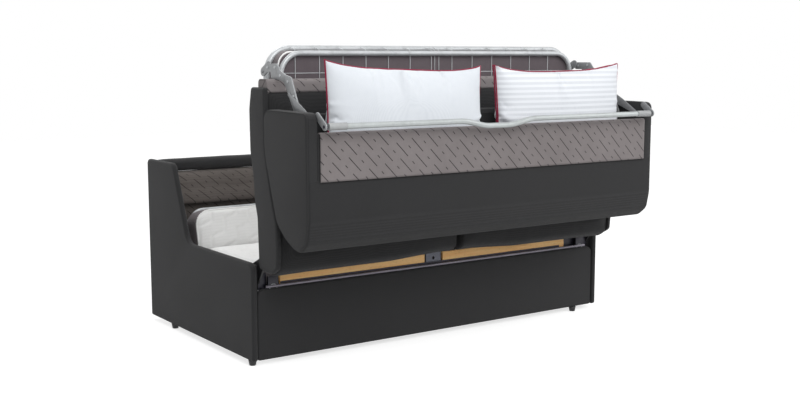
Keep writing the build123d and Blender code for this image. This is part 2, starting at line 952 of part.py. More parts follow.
# Bend of the mattress between its middle and its foot, which stretches as the bed opens
with BuildPart() as mattress_bend:
    with BuildSketch(side_plane(-mattress_half_width)):
        with BuildLine():
            FilletPolyline(
                (mattress_face, mid_top + soft_gap),
                (bed_face, mid_top + soft_gap),
                (bed_face, foot_mattress_bottom - soft_gap),
                (mattress_face, foot_mattress_bottom - soft_gap),
                radius=mattress_edge_radius,
                close=True,
            )
        make_face()
    extrude(amount=2 * mattress_half_width)
save(mattress_bend.part, "mattress_bend")


def back_outline(plane, inset):
    # Side view of the backrest: round about the hinge, straight, then swelling to the far end
    with BuildSketch(plane) as outline:
        with BuildLine():
            FilletPolyline(
                (fold_plane, back_top),
                (fold_plane, back_swell_start),
                back_swell,
                (back_swell_foot, back_low),
                (back_front, back_low),
                (back_front, back_front_height),
                (hinge_depth - back_slope_gap, back_top),
                radius=[
                    hinge_inset - slide_gap,
                    back_swell_radius,
                    back_belly_radius,
                    back_foot_radius,
                    back_shell_radius,
                    back_nose_radius,
                    back_nose_radius,
                ],
                close=True,
            )
        make_face()
        if inset:
            offset(amount=-inset, mode=Mode.REPLACE)
    return outline.sketch


# End panels of the backrest, with the bores of its hinge
panel_outer = end_panel_inner + end_panel_thickness
for side, hand in hands.items():
    with BuildPart() as end_panel:
        add(back_outline(side_plane(hand * end_panel_inner), 0))
        add(back_outline(side_plane(hand * (panel_outer - end_panel_radius)), 0))
        add(back_outline(side_plane(hand * panel_outer), end_panel_radius))
        loft(ruled=True)
        bore = spread(hand, end_panel_inner, end_panel_inner + hinge_pin_reach + slide_gap)
        with BuildSketch(side_plane(bore[0])):
            with Locations((hinge_depth, hinge_height)):
                Circle(hinge_pin_radius + running_gap)
        extrude(amount=bore[1] - bore[0], mode=Mode.SUBTRACT)
    save(end_panel.part, f"{side}_end_panel")

# Shell of the backrest and the board that closes its pillow pocket
shell_span = (-end_panel_inner, end_panel_inner)
shell_inner = back_front + shell_thickness
floor_top = back_low + shell_thickness
back_shell = across(
    shell_span,
    [
        (back_front, back_low),
        (pocket_back, back_low),
        (pocket_back, floor_top),
        (shell_inner, floor_top),
        (shell_inner, shell_top),
        (back_front, shell_top),
    ],
    [
        back_shell_radius,
        angle_wall,
        angle_wall,
        angle_wall,
        shell_lip_radius,
        shell_lip_radius,
    ],
)
save(back_shell, "back_shell")
pocket_board = across(
    (-back_cushion_half_width, back_cushion_half_width),
    [
        (pocket_back, back_low + shell_lip_radius),
        (pocket_back + pocket_board_thickness, back_low + shell_lip_radius),
        (pocket_back + pocket_board_thickness, pocket_board_top),
        (pocket_back, pocket_board_top),
    ],
)
save(pocket_board, "pocket_board")

# Two back cushions between the pocket board and the fold
cushion_front = pocket_back + pocket_board_thickness + soft_gap
cut_plane = Plane(origin=(0, cushion_front - middle_depth, 0), z_dir=(0, 1, 0))
for side, hand in hands.items():
    span = spread(hand, seat_middle_gap / 2, back_cushion_half_width)
    with BuildPart() as back_cushion:
        add(back_outline(side_plane(span[0]), back_cushion_round))
        add(back_outline(side_plane(span[0] + back_cushion_shoulder), soft_gap))
        add(back_outline(side_plane(span[1] - back_cushion_shoulder), soft_gap))
        add(back_outline(side_plane(span[1]), back_cushion_round))
        loft(ruled=True)
        split(bisect_by=cut_plane, keep=Keep.TOP)
    save(back_cushion.part, f"{side}_back_cushion")

# Thin stays riveted to the levers
stay_inner = lever_inner + lever_thickness + rivet_height
with BuildPart() as stays:
    for hand in hands.values():
        plate = spread(hand, stay_inner, stay_inner + stay_thickness)
        with BuildSketch(side_plane(plate[0])):
            with Locations(stay_top, stay_bottom):
                Circle(stay_radius)
            make_hull()
        extrude(amount=stay_thickness)
save(stays.part, "stays")

# Brackets on the front edge of the end panels, which hold the rail
with BuildPart() as rail_brackets:
    for hand in hands.values():
        ear = spread(hand, rail_bracket_inner, rail_bracket_inner + rail_bracket_thickness)
        flange_middle = back_front_height - end_panel_radius - rail_flange_height / 2
        with BuildSketch(side_plane(ear[0])):
            with Locations((rail_depth, rail_level)):
                Circle(rail_bracket_radius)
            with Locations((back_front - rail_flange_thickness / 2, flange_middle)):
                Rectangle(rail_flange_thickness, rail_flange_height)
            make_hull()
            with Locations((rail_depth, rail_level)):
                Circle(rail_spigot_radius + running_gap, mode=Mode.SUBTRACT)
        extrude(amount=rail_bracket_thickness)
        flange = spread(hand, rail_bracket_inner, rail_bracket_inner + rail_flange_width)
        with BuildSketch(side_plane(flange[0])):
            with Locations((back_front - rail_flange_thickness / 2, flange_middle)):
                Rectangle(rail_flange_thickness, rail_flange_height)
        extrude(amount=rail_flange_width)
save(rail_brackets.part, "rail_brackets")

# Rail with a shallow dip, plastic sleeves and a turning spigot at each end
with BuildPart() as rail:
    tube_end = rail_bracket_inner - slide_gap / 2
    with BuildLine(front_plane(rail_depth)) as rail_path:
        FilletPolyline(
            (-tube_end, rail_level),
            (dip_span[0], rail_level),
            (dip_span[0] + dip_run, rail_level - dip_depth),
            (dip_span[1] - dip_run, rail_level - dip_depth),
            (dip_span[1], rail_level),
            (tube_end, rail_level),
            radius=dip_bend,
        )
    with BuildSketch(side_plane(-tube_end)):
        with Locations((rail_depth, rail_level)):
            Circle(rail_radius)
    sweep()
    for hand in hands.values():
        sleeve = spread(hand, tube_end - sleeve_length, tube_end)
        spigot = spread(hand, tube_end, rail_bracket_inner + rail_bracket_thickness)
        with BuildSketch(side_plane(sleeve[0])):
            with Locations((rail_depth, rail_level)):
                Circle(sleeve_radius)
        extrude(amount=sleeve_length)
        with BuildSketch(side_plane(spigot[0])):
            with Locations((rail_depth, rail_level)):
                Circle(rail_spigot_radius)
        extrude(amount=spigot[1] - spigot[0])
save(rail.part, "pillow_rail")

# Two pillows standing in the pocket, plump in the middle and drawn in along their sides
pocket_front = shell_inner + soft_gap
pocket_rear = pocket_back - soft_gap
pillow_middle = (pocket_front + pocket_rear) / 2
pillow_sections = [
    (pocket_front, pillow_crown),
    (pocket_front + pillow_shoulder, pillow_edge),
    (pocket_front + 2 * pillow_shoulder, pillow_side),
    (pillow_middle, 0),
    (pocket_rear - 2 * pillow_shoulder, pillow_side),
    (pocket_rear - pillow_shoulder, pillow_edge),
    (pocket_rear, pillow_crown),
]
for side, span in pillow_spans.items():
    with BuildPart() as pillow:
        for depth, inset in pillow_sections:
            add(
                soft_outline(
                    front_plane(depth),
                    span,
                    pillow_bottom,
                    pillow_top,
                    inset,
                    pillow_corner,
                    pillow_draw,
                )
            )
        loft(ruled=True)
    save(pillow.part, f"{side}_pillow")
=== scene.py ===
import cmath
import math

import bpy
import numpy as np
from mathutils import Matrix, Vector


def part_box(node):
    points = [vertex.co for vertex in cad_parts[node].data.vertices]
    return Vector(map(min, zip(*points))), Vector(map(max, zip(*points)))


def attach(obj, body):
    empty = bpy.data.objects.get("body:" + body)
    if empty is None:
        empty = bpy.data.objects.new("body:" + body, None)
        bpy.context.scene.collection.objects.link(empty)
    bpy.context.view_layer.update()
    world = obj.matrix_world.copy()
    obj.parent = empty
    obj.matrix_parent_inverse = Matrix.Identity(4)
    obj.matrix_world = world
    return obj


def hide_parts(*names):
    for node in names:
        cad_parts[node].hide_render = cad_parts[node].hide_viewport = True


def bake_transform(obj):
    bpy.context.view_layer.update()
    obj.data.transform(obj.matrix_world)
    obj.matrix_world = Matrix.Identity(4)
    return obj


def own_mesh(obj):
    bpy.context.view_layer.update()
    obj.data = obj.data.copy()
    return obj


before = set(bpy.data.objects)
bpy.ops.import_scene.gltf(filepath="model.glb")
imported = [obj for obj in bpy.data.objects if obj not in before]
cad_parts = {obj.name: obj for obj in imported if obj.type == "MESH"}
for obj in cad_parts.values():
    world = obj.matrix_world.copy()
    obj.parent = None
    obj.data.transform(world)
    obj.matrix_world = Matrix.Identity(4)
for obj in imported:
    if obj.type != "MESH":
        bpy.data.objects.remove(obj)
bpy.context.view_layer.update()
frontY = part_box("left_arm")[0].y  # front of the arms, where depths start
hands = {"left": -1, "right": 1}
print("frame loaded:", len(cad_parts), "nodes")


# Small tools of the bench

def at(depth):
    return frontY + depth


def pick(piece):
    bpy.ops.object.select_all(action="DESELECT")
    piece.select_set(True)
    bpy.context.view_layer.objects.active = piece


def block(name, low, high):
    # a box between two corners, with its place in its mesh
    low, high = Vector(low), Vector(high)
    bpy.ops.object.select_all(action="DESELECT")
    bpy.ops.mesh.primitive_cube_add(size=1, location=(low + high) / 2, scale=high - low)
    piece = bpy.context.object
    piece.name = name
    bpy.ops.object.transform_apply(location=True, rotation=True, scale=True)
    return piece


def choose(piece, kind, test):
    # selects edges or faces in code, then enters edit mode
    pick(piece)
    bpy.context.tool_settings.mesh_select_mode = (False, kind == "edges", kind == "faces")
    mesh = piece.data
    for parts in (mesh.vertices, mesh.edges, mesh.polygons):
        parts.foreach_set("select", [False] * len(parts))
    if kind == "faces":
        for face in mesh.polygons:
            face.select = test(face.center, face.normal)
    else:
        for edge in mesh.edges:
            first, second = (mesh.vertices[i].co for i in edge.vertices)
            edge.select = test((first + second) / 2, (second - first).normalized())
    bpy.ops.object.mode_set(mode="EDIT")


def leaveEdit():
    bpy.ops.object.mode_set(mode="OBJECT")


def roundEdges(piece, test, radius, steps):
    choose(piece, "edges", test)
    bpy.ops.mesh.bevel(offset=radius, segments=steps, affect="EDGES")
    leaveEdit()


def finishWith(piece, kind, **settings):
    # adds one modifier and applies it
    pick(piece)
    modifier = piece.modifiers.new(kind.title(), kind)
    for key, value in settings.items():
        setattr(modifier, key, value)
    bpy.ops.object.modifier_apply(modifier=modifier.name)


def pointsOf(piece):
    points = np.empty(len(piece.data.vertices) * 3)
    piece.data.vertices.foreach_get("co", points)
    return points.reshape(-1, 3)


def placePoints(piece, points):
    piece.data.vertices.foreach_set("co", points.ravel())
    piece.data.update()


def smooth(piece, angle=None):
    pick(piece)
    if angle is None:
        bpy.ops.object.shade_smooth()
    else:
        bpy.ops.object.shade_smooth_by_angle(angle=math.radians(angle))


def paintWith(piece, *materials):
    piece.data.materials.clear()
    for material in materials:
        piece.data.materials.append(material)


def paintFaces(piece, rule):
    # gives each face the number of its material by its middle and its normal
    for face in piece.data.polygons:
        face.material_index = rule(face.center, face.normal)


def settle(piece, body, slotName, *nodes):
    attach(piece, body)
    if nodes:
        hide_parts(*nodes)


def dressPiece(piece, material, body, slotName, *nodes):
    # flat faces with smooth bends between them, one material, and a place in a body
    smooth(piece, 35)
    paintWith(piece, material)
    settle(piece, body, slotName, *nodes)


def softNoise(points, size, seed):
    # slow, smooth unevenness from a few crossing waves, between -1 and 1
    chance = np.random.default_rng(seed)
    total = np.zeros(len(points))
    for _ in range(6):
        direction = chance.normal(size=3)
        direction /= np.linalg.norm(direction)
        length = size * chance.uniform(0.6, 1.6)
        total += np.sin(points @ direction * 2 * math.pi / length + chance.uniform(0, 6.3))
    return total / 6


def weld(name, points, radius, closed, material, body, slotName):
    # round cords or wires along points, or along several lists of points, made one mesh
    line = bpy.data.curves.new(name, "CURVE")
    line.dimensions = "3D"
    line.bevel_depth = radius
    line.bevel_resolution = 3
    line.use_fill_caps = not closed
    for route in points if np.ndim(points[0]) > 1 else [points]:
        spline = line.splines.new("POLY")
        spline.points.add(len(route) - 1)
        for spot, point in zip(spline.points, route):
            spot.co = (*point, 1)
        spline.use_cyclic_u = closed
    piece = bpy.data.objects.new(name, line)
    bpy.context.scene.collection.objects.link(piece)
    pick(piece)
    bpy.ops.object.convert(target="MESH")
    piece = bpy.context.object
    smooth(piece)
    paintWith(piece, material)
    settle(piece, body, slotName)
    return piece


def roundedLoop(low, high, radius, steps=8):
    # points round a rectangle with rounded corners, as pairs
    corners = [
        (high[0] - radius, high[1] - radius, 0),
        (low[0] + radius, high[1] - radius, 1),
        (low[0] + radius, low[1] + radius, 2),
        (high[0] - radius, low[1] + radius, 3),
    ]
    loop = []
    for middleA, middleB, quarter in corners:
        for step in range(steps + 1):
            turn = (quarter + step / steps) * math.pi / 2
            loop.append((middleA + radius * math.cos(turn), middleB + radius * math.sin(turn)))
    return loop


def roundOutline(corners, radii, steps=10):
    # a closed outline with each of its corners rounded, as pairs
    path = []
    for index, radius in enumerate(radii):
        corner = complex(*corners[index])
        wayIn = complex(*corners[index - 1]) - corner
        wayOut = complex(*corners[(index + 1) % len(corners)]) - corner
        wayIn, wayOut = wayIn / abs(wayIn), wayOut / abs(wayOut)
        half = abs(cmath.phase(wayOut / wayIn)) / 2
        middle = corner + (wayIn + wayOut) / abs(wayIn + wayOut) * radius / math.sin(half)
        start = corner + wayIn * radius / math.tan(half) - middle
        end = corner + wayOut * radius / math.tan(half) - middle
        for step in range(steps + 1):
            spot = middle + start * cmath.exp(1j * cmath.phase(end / start) * step / steps)
            path.append((spot.real, spot.imag))
    return path


def insetLoop(path, distance):
    # the same loop, further in by a distance
    path = np.array(path)
    way = np.roll(path, -1, axis=0) - np.roll(path, 1, axis=0)
    way /= np.linalg.norm(way, axis=1)[:, None]
    inward = np.stack([-way[:, 1], way[:, 0]], axis=1)
    middle = path.mean(0)
    if np.sum(inward * (middle - path)) < 0:
        inward = -inward
    return path + inward * distance


def fromSide(corners):
    # depths from the front of the arms, made places
    return [(at(depth), height) for depth, height in corners]


def cutBoard(name, outline, low, high, axis=0):
    # a board with an outline, between two places along an axis
    bpy.ops.object.select_all(action="DESELECT")
    bpy.ops.mesh.primitive_circle_add(vertices=len(outline), radius=1, fill_type="NGON")
    piece = bpy.context.object
    piece.name = name
    points = np.zeros((len(outline), 3))
    points[:, [index for index in range(3) if index != axis]] = outline
    points[:, axis] = low
    placePoints(piece, points)
    choose(piece, "faces", lambda spot, normal: True)
    move = [0, 0, 0]
    move[axis] = high - low
    bpy.ops.mesh.extrude_region_move(TRANSFORM_OT_translate={"value": move})
    bpy.ops.mesh.select_all(action="SELECT")
    bpy.ops.mesh.normals_make_consistent(inside=False)
    leaveEdit()
    return piece


def sideBoard(name, shape, low, high):
    # a board drawn from the side, between two places across the sofa bed
    return cutBoard(name, roundOutline(fromSide(shape["corners"]), shape["radii"]), low, high)


def roundRims(piece, axis, radius, steps=3):
    roundEdges(piece, lambda spot, way: abs(way[axis]) < 0.1, radius, steps)


def roundFace(piece, axis, place, radius, steps):
    # rounds the edges of the flat face that lies at one place along an axis
    def onFace(spot, way):
        return abs(spot[axis] - place) < 1e-4 and abs(way[axis]) < 0.1

    roundEdges(piece, onFace, radius, steps)


def takeOver(nodeName, name, body, material, slotName, rule):
    # a copy of a piece of the frame with some of its points moved
    piece = bpy.data.objects.new(name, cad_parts[nodeName].data.copy())
    bpy.context.scene.collection.objects.link(piece)
    choose(piece, "faces", lambda spot, normal: True)
    bpy.ops.mesh.select_all(action="SELECT")
    bpy.ops.mesh.remove_doubles(threshold=1e-5)
    leaveEdit()
    points = pointsOf(piece)
    rule(points)
    placePoints(piece, points)
    smooth(piece, 30)
    paintWith(piece, material)
    settle(piece, body, slotName, nodeName)
    return piece


# Shader tools

def paint(red, green, blue):
    # linear colour from the numbers of a colour picker
    def linear(level):
        level /= 255
        return level / 12.92 if level <= 0.04045 else ((level + 0.055) / 1.055) ** 2.4

    return (linear(red), linear(green), linear(blue), 1)


def node(tree, kind, **settings):
    made = tree.nodes.new("ShaderNode" + kind)
    for key, value in settings.items():
        setattr(made, key, value)
    return made


def feed(tree, socket, value):
    if isinstance(value, bpy.types.NodeSocket):
        tree.links.new(value, socket)
    else:
        socket.default_value = value


def calc(tree, operation, *values):
    made = node(tree, "Math", operation=operation)
    for socket, value in zip(made.inputs, values):
        feed(tree, socket, value)
    return made.outputs[0]


def mixColours(tree, factor, first, second):
    made = node(tree, "Mix", data_type="RGBA")
    feed(tree, made.inputs[0], factor)
    feed(tree, made.inputs[6], first)
    feed(tree, made.inputs[7], second)
    return made.outputs[2]


def noise(tree, vector, scale, detail=2):
    made = node(tree, "TexNoise")
    feed(tree, made.inputs["Vector"], vector)
    feed(tree, made.inputs["Scale"], scale)
    made.inputs["Detail"].default_value = detail
    return made.outputs[0]


def stretch(tree, vector, scale, rotation=(0, 0, 0)):
    made = node(tree, "Mapping")
    feed(tree, made.inputs["Vector"], vector)
    made.inputs["Scale"].default_value = scale
    made.inputs["Rotation"].default_value = rotation
    return made.outputs[0]


def remap(tree, value, low, high, newLow, newHigh):
    made = node(tree, "MapRange")
    feed(tree, made.inputs["Value"], value)
    for label, number in (("From Min", low), ("From Max", high), ("To Min", newLow), ("To Max", newHigh)):
        made.inputs[label].default_value = number
    return made.outputs[0]


def startGroup(name, inputs, outputs):
    group = bpy.data.node_groups.new(name, "ShaderNodeTree")
    group.interface.new_socket("Vector", in_out="INPUT", socket_type="NodeSocketVector")
    for label, value in inputs.items():
        socket = group.interface.new_socket(label, in_out="INPUT", socket_type="NodeSocketFloat")
        socket.default_value = value
    for label in outputs:
        group.interface.new_socket(label, in_out="OUTPUT", socket_type="NodeSocketFloat")
    return group, group.nodes.new("NodeGroupInput"), group.nodes.new("NodeGroupOutput")


def useGroup(tree, group, vector, **values):
    made = node(tree, "Group")
    made.node_tree = group
    tree.links.new(vector, made.inputs["Vector"])
    for label, value in values.items():
        feed(tree, made.inputs[label], value)
    return made


def buildWeave():
    # crossing threads with loose fibres, on any flat side of a piece
    group, given, taken = startGroup("threads", {"Threads": 150}, ["Height", "Fibre"])
    bands = []
    for direction in "XYZ":
        wave = node(group, "TexWave", wave_type="BANDS", bands_direction=direction)
        group.links.new(given.outputs["Vector"], wave.inputs["Vector"])
        group.links.new(given.outputs["Threads"], wave.inputs["Scale"])
        wave.inputs["Distortion"].default_value = 0.8
        wave.inputs["Detail"].default_value = 1
        bands.append(wave.outputs["Fac"])
    pairs = [calc(group, "MULTIPLY", bands[0], bands[2])]
    pairs.append(calc(group, "MULTIPLY", bands[0], bands[1]))
    pairs.append(calc(group, "MULTIPLY", bands[1], bands[2]))
    crossing = calc(group, "ADD", calc(group, "ADD", pairs[0], pairs[1]), pairs[2])
    fibre = noise(group, given.outputs["Vector"], calc(group, "MULTIPLY", given.outputs["Threads"], 6), 3)
    height = calc(group, "ADD", calc(group, "MULTIPLY", crossing, 0.4), calc(group, "MULTIPLY", fibre, 0.5))
    group.links.new(height, taken.inputs["Height"])
    group.links.new(fibre, taken.inputs["Fibre"])
    return group


def buildUneven():
    # slow changes of tone over a surface
    group, given, taken = startGroup("unevenTone", {"Size": 6}, ["Tone"])
    slow = noise(group, given.outputs["Vector"], given.outputs["Size"], 3)
    fine = noise(group, given.outputs["Vector"], calc(group, "MULTIPLY", given.outputs["Size"], 9), 2)
    both = calc(group, "ADD", calc(group, "MULTIPLY", slow, 0.7), calc(group, "MULTIPLY", fine, 0.3))
    group.links.new(remap(group, both, 0.3, 0.7, 0, 1), taken.inputs["Tone"])
    return group


def buildWear():
    # rubbed spots and fine scratches on painted steel and plastic
    group, given, taken = startGroup("rubbed", {"Amount": 0.3}, ["Mask"])
    spots = remap(group, noise(group, given.outputs["Vector"], 35, 4), 0.56, 0.7, 0, 1)
    lines = noise(group, stretch(group, given.outputs["Vector"], (40, 400, 90)), 1.4, 3)
    scratched = remap(group, lines, 0.6, 0.68, 0, 0.6)
    both = calc(group, "MAXIMUM", spots, scratched)
    group.links.new(calc(group, "MULTIPLY", both, given.outputs["Amount"]), taken.inputs["Mask"])
    return group


def buildDashes():
    # broken lines that run down to the right on cloth laid out by Across and Up
    sizes = {"Pitch": 0.03, "Period": 0.15, "Width": 0.0036}
    group, given, taken = startGroup("brokenLines", sizes, ["Mask"])
    dashes = {"rowShift": 0.37, "longEnd": 0.5, "shortMiddle": 0.74, "shortHalf": 0.045}
    parts = node(group, "SeparateXYZ")
    group.links.new(given.outputs["Vector"], parts.inputs[0])
    up = calc(group, "ADD", parts.outputs["Z"], parts.outputs["Y"])
    root = math.sqrt(0.5)
    along = calc(group, "MULTIPLY", calc(group, "SUBTRACT", parts.outputs["X"], up), root)
    side = calc(group, "MULTIPLY", calc(group, "ADD", parts.outputs["X"], up), root)
    rows = calc(group, "DIVIDE", side, given.outputs["Pitch"])
    row = calc(group, "FLOOR", rows)
    fromMiddle = calc(group, "ABSOLUTE", calc(group, "SUBTRACT", calc(group, "FRACT", rows), 0.5))
    offset = calc(group, "MULTIPLY", fromMiddle, given.outputs["Pitch"])
    line = calc(group, "LESS_THAN", offset, calc(group, "MULTIPLY", given.outputs["Width"], 0.5))
    periods = calc(group, "DIVIDE", along, given.outputs["Period"])
    run = calc(group, "FRACT", calc(group, "ADD", periods, calc(group, "MULTIPLY", row, dashes["rowShift"])))
    longDash = calc(group, "LESS_THAN", run, dashes["longEnd"])
    fromShort = calc(group, "ABSOLUTE", calc(group, "SUBTRACT", run, dashes["shortMiddle"]))
    shortDash = calc(group, "LESS_THAN", fromShort, dashes["shortHalf"])
    dash = calc(group, "MAXIMUM", longDash, shortDash)
    group.links.new(calc(group, "MULTIPLY", line, dash), taken.inputs["Mask"])
    return group


weaveGroup = buildWeave()
toneGroup = buildUneven()
wearGroup = buildWear()
dashGroup = buildDashes()


def startMaterial(name):
    material = bpy.data.materials.new(name)
    material.use_nodes = True
    tree = material.node_tree
    shader = tree.nodes["Principled BSDF"]
    place = node(tree, "TexCoord").outputs["Object"]
    return material, tree, shader, place


def bumpFrom(tree, shader, height, strength, distance):
    bump = node(tree, "Bump")
    bump.inputs["Strength"].default_value = strength
    bump.inputs["Distance"].default_value = distance
    tree.links.new(height, bump.inputs["Height"])
    tree.links.new(bump.outputs["Normal"], shader.inputs["Normal"])


def clothMaterial(name, dark, light, threads, bump, sheen, pattern=None):
    # woven cloth between two tones, with a pattern drawn into it if there is one
    material, tree, shader, place = startMaterial(name)
    weave = useGroup(tree, weaveGroup, place, Threads=threads)
    tone = useGroup(tree, toneGroup, place, Size=5).outputs["Tone"]
    grain = remap(tree, weave.outputs["Height"], 0.2, 0.8, 0, 1)
    mixed = calc(tree, "ADD", calc(tree, "MULTIPLY", tone, 0.45), calc(tree, "MULTIPLY", grain, 0.55))
    colour = mixColours(tree, mixed, paint(*dark), paint(*light))
    height = weave.outputs["Height"]
    if pattern:
        colour, height = pattern(tree, place, colour, height)
    tree.links.new(colour, shader.inputs["Base Color"])
    tree.links.new(remap(tree, tone, 0, 1, 0.82, 0.96), shader.inputs["Roughness"])
    shader.inputs["Specular IOR Level"].default_value = 0.25
    shader.inputs["Sheen Weight"].default_value = sheen
    shader.inputs["Sheen Roughness"].default_value = 0.5
    bumpFrom(tree, shader, height, bump, 0.0012)
    return material


def drawDashes(tree, place, colour, height):
    mask = useGroup(tree, dashGroup, place).outputs["Mask"]
    faded = calc(tree, "MULTIPLY", mask, remap(tree, noise(tree, place, 300), 0.35, 0.6, 0.7, 1))
    sunk = calc(tree, "SUBTRACT", height, calc(tree, "MULTIPLY", mask, 0.3))
    return mixColours(tree, faded, colour, paint(42, 38, 38)), sunk


def drawStripes(tree, place, colour, height):
    # satin stripes along the pillow
    wave = node(tree, "TexWave", wave_type="BANDS", bands_direction="Z", wave_profile="SIN")
    tree.links.new(place, wave.inputs["Vector"])
    wave.inputs["Scale"].default_value = 15
    stripe = remap(tree, wave.outputs["Fac"], 0.45, 0.6, 0, 1)
    lifted = calc(tree, "ADD", height, calc(tree, "MULTIPLY", stripe, 0.5))
    return mixColours(tree, stripe, colour, paint(226, 229, 234)), lifted


def paintedMaterial(name, dark, light, metallic, roughness, wear, worn):
    # powder-coated or bare steel, or moulded plastic, with rubbed spots
    material, tree, shader, place = startMaterial(name)
    tone = useGroup(tree, toneGroup, place, Size=9).outputs["Tone"]
    rubbed = useGroup(tree, wearGroup, place, Amount=wear).outputs["Mask"]
    colour = mixColours(tree, tone, paint(*dark), paint(*light))
    colour = mixColours(tree, rubbed, colour, paint(*worn))
    tree.links.new(colour, shader.inputs["Base Color"])
    shader.inputs["Metallic"].default_value = metallic
    rough = remap(tree, tone, 0, 1, roughness - 0.06, roughness + 0.06)
    rough = calc(tree, "ADD", rough, calc(tree, "MULTIPLY", rubbed, 0.15))
    tree.links.new(rough, shader.inputs["Roughness"])
    peel = noise(tree, place, 900, 2)
    bumpFrom(tree, shader, peel, 0.12, 0.0006)
    return material


def woodMaterial():
    # beech ply: long pale grain along the board, with short darker flecks
    material, tree, shader, place = startMaterial("beech")
    grain = noise(tree, stretch(tree, place, (2.5, 60, 60)), 1.6, 6)
    fleck = remap(tree, noise(tree, stretch(tree, place, (60, 900, 900)), 1, 2), 0.6, 0.7, 0, 0.5)
    colour = mixColours(tree, remap(tree, grain, 0.3, 0.7, 0, 1), paint(248, 186, 112), paint(255, 212, 146))
    colour = mixColours(tree, fleck, colour, paint(150, 100, 58))
    tree.links.new(colour, shader.inputs["Base Color"])
    tree.links.new(remap(tree, grain, 0, 1, 0.42, 0.6), shader.inputs["Roughness"])
    bumpFrom(tree, shader, grain, 0.15, 0.0008)
    return material


charcoal = clothMaterial("charcoalCloth", (35, 35, 36), (50, 50, 51), 150, 0.5, 0.10)
lining = clothMaterial("liningCloth", (114, 108, 108), (138, 132, 132), 120, 0.4, 0.1, drawDashes)
# the lining cloth made darker for the back of the base: painted shade on the same cloth
shadedLining = clothMaterial("shadedLiningCloth", (84, 78, 75), (104, 98, 94), 120, 0.4, 0.1, drawDashes)
ticking = clothMaterial("tickingCloth", (236, 236, 235), (248, 248, 247), 110, 0.35, 0.1)
border = clothMaterial("borderCloth", (112, 106, 108), (134, 128, 130), 130, 0.5, 0.1)
underCloth = clothMaterial("underCloth", (84, 76, 80), (108, 99, 103), 130, 0.4, 0.2)
cotton = clothMaterial("cottonCloth", (206, 211, 217), (222, 226, 231), 260, 0.15, 0.1)
stripedCotton = clothMaterial("stripedCotton", (203, 207, 213), (218, 221, 226), 260, 0.15, 0.1, drawStripes)
crimson = clothMaterial("crimsonCord", (122, 24, 52), (158, 42, 72), 400, 0.4, 0.15)
greySteel = paintedMaterial("greyPaint", (176, 179, 181), (198, 201, 203), 0.35, 0.42, 0.25, (120, 120, 122))
railSteel = paintedMaterial("railPaint", (166, 171, 171), (184, 189, 189), 0.35, 0.38, 0.2, (130, 132, 132))
sleevePlastic = paintedMaterial(
    "sleevePlastic", (150, 152, 153), (168, 170, 171), 0, 0.45, 0.2, (120, 121, 122)
)
leverSteel = paintedMaterial("leverPaint", (138, 140, 142), (158, 160, 162), 0.4, 0.45, 0.35, (104, 104, 106))
inkSteel = paintedMaterial("inkPaint", (16, 14, 26), (26, 24, 38), 0.2, 0.4, 0.15, (58, 54, 66))
bracketSteel = paintedMaterial("bracketPaint", (78, 80, 90), (96, 98, 108), 0.3, 0.4, 0.2, (128, 130, 138))
springSteel = paintedMaterial("springPaint", (112, 108, 118), (134, 130, 140), 0.35, 0.4, 0.25, (84, 82, 90))
darkSteel = paintedMaterial("darkPaint", (38, 36, 46), (54, 51, 62), 0.3, 0.4, 0.2, (96, 92, 98))
blackPlastic = paintedMaterial("blackPlastic", (18, 18, 20), (30, 30, 32), 0, 0.4, 0.15, (58, 58, 60))
beech = woodMaterial()
print("materials made")

# Rigid pieces of the frame keep their shape and get their finish
finishes = {
    charcoal: ["back_panel", "pocket_board", "rear_rail", "front_rail"],
    # the back lining takes the darker copy of the lining cloth: painted shade
    shadedLining: ["back_lining"],
    blackPlastic: [side + name for side in hands for name in ("_guide_block", "_pivot_plate", "_seat_plate")],
    darkSteel: ["angle_bar"],
    leverSteel: ["corner_plates"],
    greySteel: ["mid_frame", "mid_net", "head_hoop", "foot_hoop"],
}
for material, names in finishes.items():
    for name in names:
        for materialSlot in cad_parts[name].material_slots:
            materialSlot.material = material

# Arms: thin upholstered boards with an upright rear edge, and an inner board set back from their edges
arm = {
    "inner": 0.896,
    "outer": 0.920,
    "corners": [(0, 0.022), (0, 0.410), (0.590, 0.410), (0.724, 0.741), (1.003, 0.741), (1.001, 0.022)],
    "radii": [0.010, 0.036, 0.066, 0.034, 0.022, 0.010],
    "edge": 0.0085,
}
armLining = {
    "inner": 0.880,
    "overlap": 0.001,
    "corners": [(0.030, 0.030), (0.030, 0.398), (0.652, 0.398), (0.782, 0.722), (0.985, 0.722), (0.985, 0.030)],
    "radii": [0.004, 0.004, 0.04, 0.02, 0.004, 0.004],
}
for side, hand in hands.items():
    board = sideBoard(side + "Arm", arm, hand * arm["inner"], hand * arm["outer"])
    roundRims(board, 0, arm["edge"], 4)
    dressPiece(board, charcoal, "base", "charcoal_fabric", side + "_arm")
    outer = arm["inner"] + armLining["overlap"]
    board = sideBoard(side + "ArmLining", armLining, hand * armLining["inner"], hand * outer)
    dressPiece(board, charcoal, "base", "charcoal_fabric")

# Front panel with soft corners
panel = {
    "half": 0.8935,
    "low": 0.022,
    "high": 0.3025,
    "front": 0.006,
    "rear": 0.024,
    "radii": [0.01, 0.03, 0.03, 0.01],
    "edge": 0.006,
}
panelCorners = [
    (-panel["half"], panel["low"]), (-panel["half"], panel["high"]),
    (panel["half"], panel["high"]), (panel["half"], panel["low"]),
]
panelOutline = roundOutline(panelCorners, panel["radii"])
frontPanel = cutBoard("frontPanel", panelOutline, at(panel["front"]), at(panel["rear"]), 1)
roundFace(frontPanel, 1, at(panel["front"]), panel["edge"], 3)
dressPiece(frontPanel, charcoal, "base", "charcoal_fabric", "front_panel")

